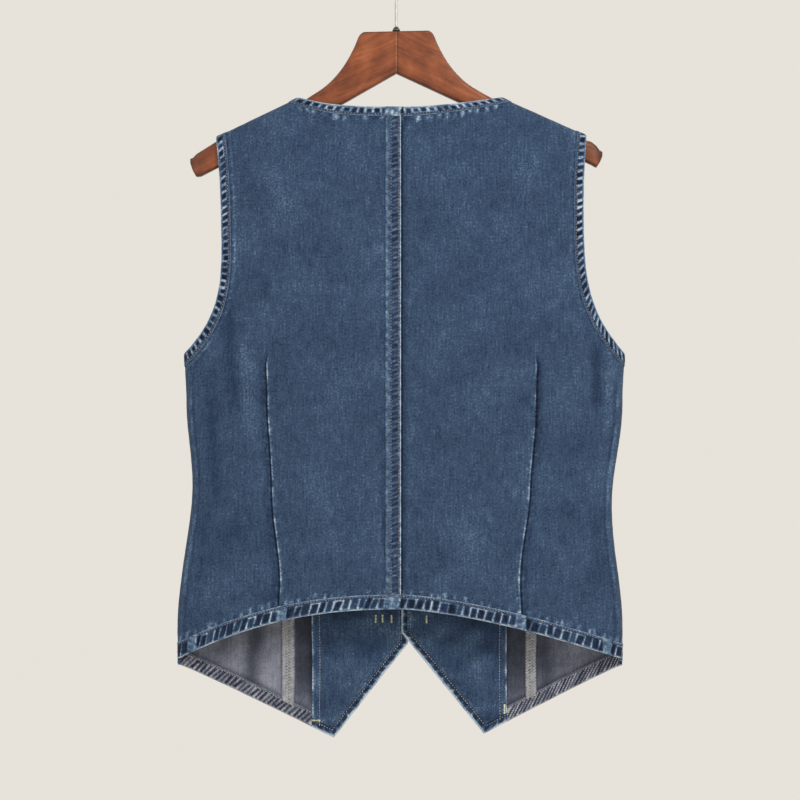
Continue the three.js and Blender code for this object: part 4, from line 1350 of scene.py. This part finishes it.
def threadTree():
    tree = bpy.data.node_groups.new("threadRun", "GeometryNodeTree")
    face = tree.interface
    face.new_socket("Geometry", in_out="INPUT", socket_type="NodeSocketGeometry")
    for label in ("Pitch", "Stitch Length", "Thread Radius", "Lay", "Zigzag", "Unevenness"):
        face.new_socket(label, in_out="INPUT", socket_type="NodeSocketFloat")
    face.new_socket("Seed", in_out="INPUT", socket_type="NodeSocketInt")
    face.new_socket("Thread", in_out="INPUT", socket_type="NodeSocketMaterial")
    face.new_socket("Geometry", in_out="OUTPUT", socket_type="NodeSocketGeometry")
    given = tree.nodes.new("NodeGroupInput").outputs
    curve = addNode(tree, "GeometryNodeMeshToCurve", {"Mesh": given["Geometry"]})
    even = addNode(tree, "GeometryNodeResampleCurve", {"Curve": curve.outputs[0], "Length": given["Pitch"]},
                   mode="LENGTH")
    tangent = addNode(tree, "GeometryNodeInputTangent")
    lie = addNode(tree, "GeometryNodeInputNamedAttribute", {"Name": "lie"}, data_type="FLOAT_VECTOR")
    forward = addNode(tree, "FunctionNodeAlignRotationToVector", {"Vector": tangent.outputs[0]}, axis="X")
    upright = addNode(tree, "FunctionNodeAlignRotationToVector", {
        "Rotation": forward.outputs[0], "Vector": lie.outputs[0]}, axis="Z", pivot_axis="X")
    # Every other stitch leans the other way, and each one a little by chance
    index = addNode(tree, "GeometryNodeInputIndex")
    odd = addNode(tree, "ShaderNodeMath", {0: index.outputs[0], 1: 2.0}, operation="FLOORED_MODULO")
    sign = addNode(tree, "ShaderNodeMath", {0: odd.outputs[0], 1: 2.0, 2: -1.0}, operation="MULTIPLY_ADD")
    swing = addNode(tree, "ShaderNodeMath", {0: sign.outputs[0], 1: given["Zigzag"], 2: given["Lay"]},
                    operation="MULTIPLY_ADD")
    chance = addNode(tree, "FunctionNodeRandomValue", {2: -1.0, 3: 1.0, "Seed": given["Seed"]},
                     data_type="FLOAT")
    angle = addNode(tree, "ShaderNodeMath", {0: chance.outputs[1], 1: given["Unevenness"], 2: swing.outputs[0]},
                    operation="MULTIPLY_ADD")
    turn = addNode(tree, "ShaderNodeCombineXYZ", {"Z": angle.outputs[0]})
    laid = addNode(tree, "FunctionNodeRotateRotation", {
        "Rotation": upright.outputs[0], "Rotate By": turn.outputs[0]}, rotation_space="LOCAL")
    ball = addNode(tree, "GeometryNodeMeshUVSphere", {"Segments": 6, "Rings": 4, "Radius": 1.0})
    halfLength = addNode(tree, "ShaderNodeMath", {0: given["Stitch Length"], 1: 0.5}, operation="MULTIPLY")
    size = addNode(tree, "ShaderNodeCombineXYZ", {
        "X": halfLength.outputs[0], "Y": given["Thread Radius"], "Z": given["Thread Radius"]})
    stitch = addNode(tree, "GeometryNodeTransform", {"Geometry": ball.outputs[0], "Scale": size.outputs[0]})
    worn = addNode(tree, "FunctionNodeRandomValue", {2: 0.72, 3: 1.1, "Seed": given["Seed"]}, data_type="FLOAT")
    placed = addNode(tree, "GeometryNodeInstanceOnPoints", {
        "Points": even.outputs[0], "Instance": stitch.outputs[0], "Rotation": laid.outputs[0],
        "Scale": worn.outputs[1]})
    real = addNode(tree, "GeometryNodeRealizeInstances", {"Geometry": placed.outputs[0]})
    coloured = addNode(tree, "GeometryNodeSetMaterial", {
        "Geometry": real.outputs[0], "Material": given["Thread"]})
    out = tree.nodes.new("NodeGroupOutput")
    tree.links.new(coloured.outputs[0], out.inputs[0])
    return tree


def makeThreads(name, paths, facts, tree):
    points = np.concatenate([p for p, normal in paths])
    lie = np.concatenate([normal for p, normal in paths])
    edges, first = [], 0
    for p, normal in paths:
        edges += [(first + i, first + i + 1) for i in range(len(p) - 1)]
        first += len(p)
    mesh = bpy.data.meshes.new(name + "Paths")
    mesh.from_pydata(toFrame(points).tolist(), edges, [])
    layer = mesh.attributes.new("lie", "FLOAT_VECTOR", "POINT")
    layer.data.foreach_set("vector", lie.astype(np.float32).ravel())
    carrier = addObject(name + "Paths", mesh)
    modifier = carrier.modifiers.new("threadRun", "NODES")
    modifier.node_group = tree
    settings = {"Pitch": facts["pitch"] * mm, "Stitch Length": facts["length"] * mm,
                "Thread Radius": facts["radius"] * mm, "Lay": math.radians(facts["lay"]),
                "Zigzag": math.radians(facts["zigzag"]), "Unevenness": 0.1, "Seed": facts["seed"],
                "Thread": facts["material"]}
    for item in tree.interface.items_tree:
        if item.in_out == "INPUT" and item.name in settings:
            modifier[item.identifier] = settings[item.name]
    graph = bpy.context.evaluated_depsgraph_get()
    made = bpy.data.meshes.new_from_object(carrier.evaluated_get(graph), depsgraph=graph)
    carrier.modifiers.remove(modifier)
    bpy.data.objects.remove(carrier)
    made.polygons.foreach_set("use_smooth", np.ones(len(made.polygons), bool))
    obj = addObject(name, made)
    print(f"{name}: {len(paths)} rows, {len(made.polygons)} faces")
    return keepPiece(obj, "turned_denim")


overFacing = 1.1  # the stitches go through the facing, which lies this far inside the edge


def planSewing():
    sew("topstitching", rowOn("backNeckHem", 8.1))
    for name in ("Left", "Right"):
        sew("topstitching", rowOn(f"armholeBand{name}", 8.6))
        sew("topstitching", rowOn(f"frontEdge{name}", 7.1))
        sew("paleTopstitching", rowOn(f"frontEdge{name}", 7.1, "inner", overFacing))
        sew("topstitching", rowOn(f"frontHem{name}", 12.8))
        sew("paleTopstitching", rowOn(f"frontHem{name}", 12.8, "inner"))
        sew("paleTopstitching", rowOn(f"facing{name}", 7.6, "inner"))
        for t in (-0.62, 0.02, 0.62):
            sew("overlock", rowOn(f"dartFold{name}", t, "inner"))
    sew("topstitching", rowOn("backHem", 13.6))
    for t in lapFacts["rows"]:
        sew("topstitching", rowOn("centreBackSeam", t))
    sew("bartacks", castPath("facingLeft", (-95.0, -812.6), (-86.6, -812.6), -1))
    sew("bartacks", castPath("facingRight", (113.6, -805.5), (113.6, -795.5), -1))


planSewing()


# Buttons

buttonSizes = {"radius": 8.5, "thick": 3.4, "stand": 0.6, "across": 28.8, "high": -404.0, "low": -697.7,
               "count": 5}


def turnedSolid(name, profile, steps, centre, axis, material):
    # A solid of revolution about an axis, from points of radius and height, closed at both ends
    profile = np.asarray(profile, float)
    axis = Vector(axis).normalized()
    one = axis.orthogonal().normalized()
    two = axis.cross(one)
    angles = np.linspace(0, 2 * math.pi, steps, endpoint=False)
    points, faces = [], []
    inner = profile[1:-1]
    for radius, height in inner:
        for angle in angles:
            p = Vector(centre) + axis * height + (one * math.cos(angle) + two * math.sin(angle)) * radius
            points.append(tuple(p))
    first, last = len(points), len(points) + 1
    points.append(tuple(Vector(centre) + axis * profile[0][1]))
    points.append(tuple(Vector(centre) + axis * profile[-1][1]))
    for ring in range(len(inner) - 1):
        for i in range(steps):
            j = (i + 1) % steps
            faces.append((ring * steps + i, ring * steps + j, (ring + 1) * steps + j, (ring + 1) * steps + i))
    for i in range(steps):
        j = (i + 1) % steps
        faces.append((first, j, i))
        faces.append((last, (len(inner) - 1) * steps + i, (len(inner) - 1) * steps + j))
    return makeObject(name, points, faces, [material])


def makeButtons(sizes):
    cloth = {"face": 1, "lap": fronts["Right"]["lap"]}
    r, t = sizes["radius"], sizes["thick"]
    profile = [(0, 0), (r * 0.62, 0), (r * 0.66, 0.35), (r - 1.3, 0.5), (r - 0.35, 0.8), (r, 1.5),
               (r - 0.15, 2.3), (r - 0.75, t - 0.2), (r - 1.5, t), (r - 2.2, t - 0.25),
               (r - 2.8, t - 0.95), (r - 3.3, t - 1.05), (r * 0.42, t - 0.72), (r * 0.2, t - 0.6), (0, t - 0.58)]
    for i in range(sizes["count"]):
        z = sizes["high"] + i / (sizes["count"] - 1) * (sizes["low"] - sizes["high"])
        seat, normal = surfaceAt(cloth, sizes["across"], z)
        centre = seat + normal * (cut["denim"] / 2 + sizes["stand"])
        obj = turnedSolid(f"button{i + 1}", profile, 40, centre, normal, brass)
        keepPiece(obj, "button_brass", [f"button_{i + 1}"])


makeButtons(buttonSizes)
print("buttons ready")

# Buttonholes on the left front, and the thread that shows behind each button

buttonholeSizes = {"start": -9.2, "end": -26.4, "half": 1.5, "bar": 3.9, "drop": 4.6}


def planButtonholes(sizes, buttons):
    for i in range(buttons["count"]):
        z = buttons["high"] + i / (buttons["count"] - 1) * (buttons["low"] - sizes["drop"] - buttons["high"])
        for key, face, edges, bars in (("facingLeft", -1, "buttonholeEdges", (0, 0.57, 1)),
                                       ("frontLeft", 1, "buttonholeTan", (0, 1))):
            for up in (-sizes["half"], sizes["half"]):
                sew(edges, castPath(key, (sizes["start"], z + up), (sizes["end"], z + up), face))
            for share in bars:
                x = mix(sizes["start"], sizes["end"], share)
                reach = sizes["bar"] if face < 0 else 0.6 * sizes["bar"]
                sew("bartacks" if face < 0 else edges, castPath(key, (x, z - reach), (x, z + reach), face))
        x = buttons["across"]
        sew("bartacks", castPath("facingRight", (x, z - sizes["bar"]), (x, z + sizes["bar"]), -1))


planButtonholes(buttonholeSizes, buttonSizes)
threadRun = threadTree()
for name, facts in sewing.items():
    makeThreads(name, threadPaths[name], facts, threadRun)
bpy.data.node_groups.remove(threadRun)
print("sewing ready")

# Hanger

hanger = {
    "shift": -4.0,
    "halfThick": 6.5,
    "reach": 222.5,
    "tilt": 0.022,
    "archPeak": -113.9,
    "archSlope": {"left": 0.499, "right": 0.46},
    "archSteeper": {"left": 0.07, "right": 0.0},
    "tops": [(0.15, -68.5), (20, -68.5), (34, -68.5), (39, -71.5), (45, -84.5), (54, -101), (64.5, -114.5),
             (77, -126), (91, -135), (102, -141.4)],
    "ends": {"left": (-189, -195.6, -206, -223.4), "right": (-182.4, -185.5, -198.5, -213.6)},
    "clothUnder": 1.9,
    "sectionPoints": 44,
}


def armStations(side, word):
    shoulder, top, nose, foot = hanger["ends"][word]
    slope = hanger["archSlope"][word]

    def under(out):
        return hanger["archPeak"] - slope * out - hanger["archSteeper"][word] * min(out, 55)

    def line(out, below):
        return float(ridge(hanger["shift"] + side * out)) - below

    rows = [(out, high + side * hanger["tilt"] * out, under(out), 1.0) for out, high in hanger["tops"]]
    rows.append((111, line(111, 4.6), under(111), 1.0))
    rows += [(out, line(out, hanger["clothUnder"]), under(out), 1.0) for out in (124, 140, 160, 180)]
    rows += [
        (200, shoulder, under(200), 1.0),
        (211, top, under(211), 1.0),
        (216, mix(top, nose, 0.3), foot, 0.95),
        (220, mix(top, nose, 0.7), mix(foot, nose, 0.4), 0.8),
        (hanger["reach"], nose + 2.5, nose - 3, 0.5),
    ]
    return np.array(rows)


def smoothBetween(xs, ys, at):
    # Monotone cubic through the stations, which never swings past them
    xs, ys = np.asarray(xs, float), np.asarray(ys, float)
    gaps = np.diff(xs)
    slopes = np.diff(ys) / gaps
    tangents = np.concatenate([[slopes[0]], (slopes[1:] + slopes[:-1]) / 2, [slopes[-1]]])
    for i in range(1, len(slopes)):
        if slopes[i - 1] * slopes[i] <= 0:
            tangents[i] = 0
        else:
            tangents[i] = 2 * slopes[i - 1] * slopes[i] / (slopes[i - 1] + slopes[i])
    i = np.clip(np.searchsorted(xs, at) - 1, 0, len(gaps) - 1)
    t = (at - xs[i]) / gaps[i]
    a, b = ys[i], ys[i + 1]
    da, db = tangents[i] * gaps[i], tangents[i + 1] * gaps[i]
    ends = (2 * t ** 3 - 3 * t ** 2 + 1) * a + (3 * t ** 2 - 2 * t ** 3) * b
    return ends + (t ** 3 - 2 * t ** 2 + t) * da + (t ** 3 - t ** 2) * db


def makeTube(name, points, sides, material, values=None):
    # A closed solid from rings of points that follow one another
    last = len(points) // sides - 1
    faces = []
    for r in range(last):
        for i in range(sides):
            j = (i + 1) % sides
            faces.append((r * sides + i, r * sides + j, (r + 1) * sides + j, (r + 1) * sides + i))
    ends = [tuple(range(sides))[::-1], tuple(last * sides + i for i in range(sides))]
    points = np.array(points)
    inward = signedVolume(points, np.array(faces)) < 0
    faces += ends
    if inward:
        faces = [face[::-1] for face in faces]
    return makeObject(name, points, faces, [material], values=values)


jointShade = {"left": 0.12, "right": 0.5}  # the joint's dark side


def makeArm(word, side):
    rows = armStations(side, word)
    outs = [[0.03, 0.1, 0.3, 0.6, 1.0, 1.6, 2.4], [hanger["reach"] - 0.08]]
    for start, end, count in ((3.5, 30, 9), (30, 104, 58), (104, 200, 48), (200, hanger["reach"], 26)):
        outs.append(np.linspace(start, end, count))
    outs = np.unique(np.concatenate(outs))
    # The ends are cut in flats, and the rest runs smoothly
    places = rows[:, 0]
    top, bottom = (np.where(outs > 200, np.interp(outs, places, line), smoothBetween(places, line, outs))
                   for line in (rows[:, 1], rows[:, 2]))
    thick = smoothBetween(rows[:, 0], rows[:, 3], outs)
    points, grain, shadeAndDarkTone = [], [], []
    n = hanger["sectionPoints"]
    for out, high, low, share in zip(outs, top, bottom, thick):
        half = hanger["halfThick"] * share
        board = 1 - float(ease((out - 52) / 22))  # the middle is a flat board, and the arms are round
        topRound = min(hanger["halfThick"], (high - low) / 2) * mix(0.95, 0.45, board)
        footRound = min(4.0, (high - low) / 3)
        x = hanger["shift"] + side * out
        y0 = float(bow(x, -150.0))
        crown = np.linspace(0, math.pi, n // 2)
        foot = np.linspace(math.pi, 2 * math.pi, n // 2)
        for a in crown:
            c = math.cos(a)
            points.append((x, y0 + half * math.copysign(abs(c) ** mix(1, 0.5, board), c),
                           high - topRound * (1 - math.sin(a))))
        for a in foot:
            c = math.cos(a)
            points.append((x, y0 + half * math.copysign(abs(c) ** 0.6, c), low + footRound * (1 + math.sin(a))))
        for px, py, pz in points[-n:]:
            grain.append((out * mm * side, py * mm, (pz + out * 0.42) * mm))
            nearJoint = jointShade[word] * mound(out - 1.5, 0.7) - 0.4 * mound(out, 0.6)
            edgeShade = 0.55 * mound(pz - low, 1.4) + 0.7 * mound(pz - high, 1.6)
            endShade = 0.2 * float(ease((out - 150) / 40)) + 0.3 * float(ease((out - 214) / 6))
            shadeAndDarkTone.append(nearJoint + edgeShade + endShade)
    obj = makeTube(f"hangerArm{word.capitalize()}", points, n, wood, {"shadeAndDarkTone": shadeAndDarkTone})
    layer = obj.data.attributes.new("grain", "FLOAT_VECTOR", "POINT")
    layer.data.foreach_set("vector", np.array(grain, np.float32).ravel())
    keepPiece(obj, "hanger_wood", [f"hanger_arm_{word}"])


makeArm("left", -1)
makeArm("right", 1)

hookSizes = {"wire": 1.6, "radius": 16.4, "turn": 6.0, "sweepEnd": 200.0, "steps": 120, "sides": 20,
             "ferruleRadius": 4.2, "ferruleHeight": 4.0, "foot": -68.2}


def makeHook(sizes):
    crook = -(sizes["radius"] - sizes["wire"])
    meet = -math.acos(sizes["turn"] / (sizes["radius"] + sizes["turn"]))
    shaftTop = crook + (sizes["radius"] + sizes["turn"]) * math.sin(meet)
    foot = sizes["foot"] + sizes["ferruleHeight"] + 0.3
    sweep = math.radians(sizes["sweepEnd"]) - meet
    lengths = [shaftTop - foot, -meet * sizes["turn"], sweep * sizes["radius"]]
    line = []
    for run in np.linspace(0, sum(lengths), sizes["steps"]):
        if run < lengths[0]:
            line.append((0, foot + run))
        elif run < lengths[0] + lengths[1]:
            a = (run - lengths[0]) / sizes["turn"]
            line.append((sizes["turn"] * (1 - math.cos(a)), shaftTop + sizes["turn"] * math.sin(a)))
        else:
            a = meet + (run - lengths[0] - lengths[1]) / sizes["radius"]
            line.append((sizes["radius"] * math.cos(a), crook + sizes["radius"] * math.sin(a)))
    line = np.array(line)
    tangent = np.gradient(line, axis=0)
    tangent /= np.linalg.norm(tangent, axis=1, keepdims=True)
    points = []
    steps, sides = sizes["steps"], sizes["sides"]
    # the wire's end is rounded over three small rings
    radii = np.full(steps, sizes["wire"])
    radii[-1], radii[-2] = 0.55 * sizes["wire"], 0.9 * sizes["wire"]
    for (px, pz), (tx, tz), radius in zip(line, tangent, radii):
        for i in range(sides):
            a = 2 * math.pi * i / sides
            points.append((px + hanger["shift"] - tz * math.cos(a) * radius, math.sin(a) * radius,
                           pz + tx * math.cos(a) * radius))
    keepPiece(makeTube("hangerHook", points, sides, steel), "hook_steel", ["hanger_hook"])
    r, h = sizes["ferruleRadius"], sizes["ferruleHeight"]
    profile = [(0, 0), (r * 0.86, 0), (r, 0.5), (r, h * 0.42), (r * 0.8, h * 0.5), (r * 0.72, h - 0.5),
               (r * 0.62, h), (0, h)]
    obj = turnedSolid("hookFerrule", profile, 36, (hanger["shift"], 0, sizes["foot"]), (0, 0, 1), darkSteel)
    keepPiece(obj, "hook_steel", ["hook_ferrule"])


makeHook(hookSizes)
print("hanger ready")

# Riding on the root body, hiding the CAD nodes replaced, the sheets' areas printed, and a table of the cloth
# sheets

for facts in pieces.values():
    obj = facts["object"]
    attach(obj, "root")
    if facts["replaced"]:
        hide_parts(*facts["replaced"])


def shellArea(obj):
    # Half of a closed cloth's surface, in square metres
    return sum(p.area for p in obj.data.polygons) / 2


for key in ("backLeft", "backRight", "frontLeft", "frontRight", "facingLeft", "facingRight"):
    sheet = pieces[key]["object"]
    print(f"{key}: {shellArea(sheet):.4f} m2,", len(sheet.data.polygons), "faces")

sheets = {
    "backLeft": {"flat": (0.235, 0.60), "area": 0.117, "with": ["centreBackSeam", "backNeckHem", "backHem",
                                                               "armholeBandLeft"]},
    "backRight": {"flat": (0.235, 0.60), "area": 0.117, "with": ["armholeBandRight"]},
    "frontLeft": {"flat": (0.245, 0.70), "area": 0.117, "with": ["frontEdgeLeft", "frontHemLeft",
                                                               "dartFoldLeft"]},
    "frontRight": {"flat": (0.245, 0.70), "area": 0.117, "with": ["frontEdgeRight", "frontHemRight",
                                                                 "dartFoldRight"]},
    "facingLeft": {"flat": (0.095, 0.68), "area": 0.05, "with": []},
    "facingRight": {"flat": (0.11, 0.68), "area": 0.06, "with": []},
}
for key, facts in sheets.items():
    [pieces[name]["object"] for name in facts["with"]]

# Stage, light and camera


def makeStage():
    half = studio["floorSize"] / 2
    mesh = bpy.data.meshes.new("floor")
    z = studio["floorHeight"]
    corners = [(-half, -half, z), (half, -half, z), (half, half, z), (-half, half, z)]
    mesh.from_pydata(corners, [], [(0, 1, 2, 3)])
    floor = addObject("floor", mesh)
    material, tree, shader = newMaterial("paleFloor")
    place = addNode(tree, "ShaderNodeTexCoord").outputs["Object"]
    soft = noiseOn(tree, place, 3.0, detail=3.0)
    tree.links.new(ramp(tree, soft, [(0.3, paint(214, 209, 201)), (0.7, paint(222, 217, 209))]),
                   shader.inputs["Base Color"])
    shader.inputs["Roughness"].default_value = 0.9
    mesh.materials.append(material)
    world = bpy.data.worlds.new("paleStudio")
    world.use_nodes = True
    world.node_tree.nodes["Background"].inputs["Color"].default_value = studio["paleSky"] + (1.0,)
    world.node_tree.nodes["Background"].inputs["Strength"].default_value = 1.0
    bpy.context.scene.world = world
    bpy.context.scene.view_settings.view_transform = "Standard"


def makeLight(name, place, size, power, colour):
    data = bpy.data.lights.new(name, "AREA")
    data.shape = "DISK"
    data.size = size
    data.energy = power
    data.color = colour
    light = addObject(name, data)
    light.location = place
    target = Vector((0, 0, -0.45))
    light.rotation_euler = (target - light.location).to_track_quat("-Z", "Y").to_euler()


makeStage()
makeLight("keyLight", studio["keyPlace"], studio["keySize"], studio["keyPower"], studio["keyColour"])
makeLight("fillLight", studio["fillPlace"], studio["fillSize"], studio["fillPower"], (0.95, 0.97, 1.0))
makeLight("backLight", studio["backPlace"], studio["backSize"], studio["backPower"], (1.0, 1.0, 1.0))

cameraData = bpy.data.cameras.new("photoCamera")
cameraData.lens = studio["lens"]
cameraData.sensor_width = studio["sensor"]
camera = addObject("photoCamera", cameraData)
camera.location = studio["cameraPlace"]
camera.rotation_euler = (math.radians(90), 0, 0)
bpy.context.scene.camera = camera
print("studio ready")
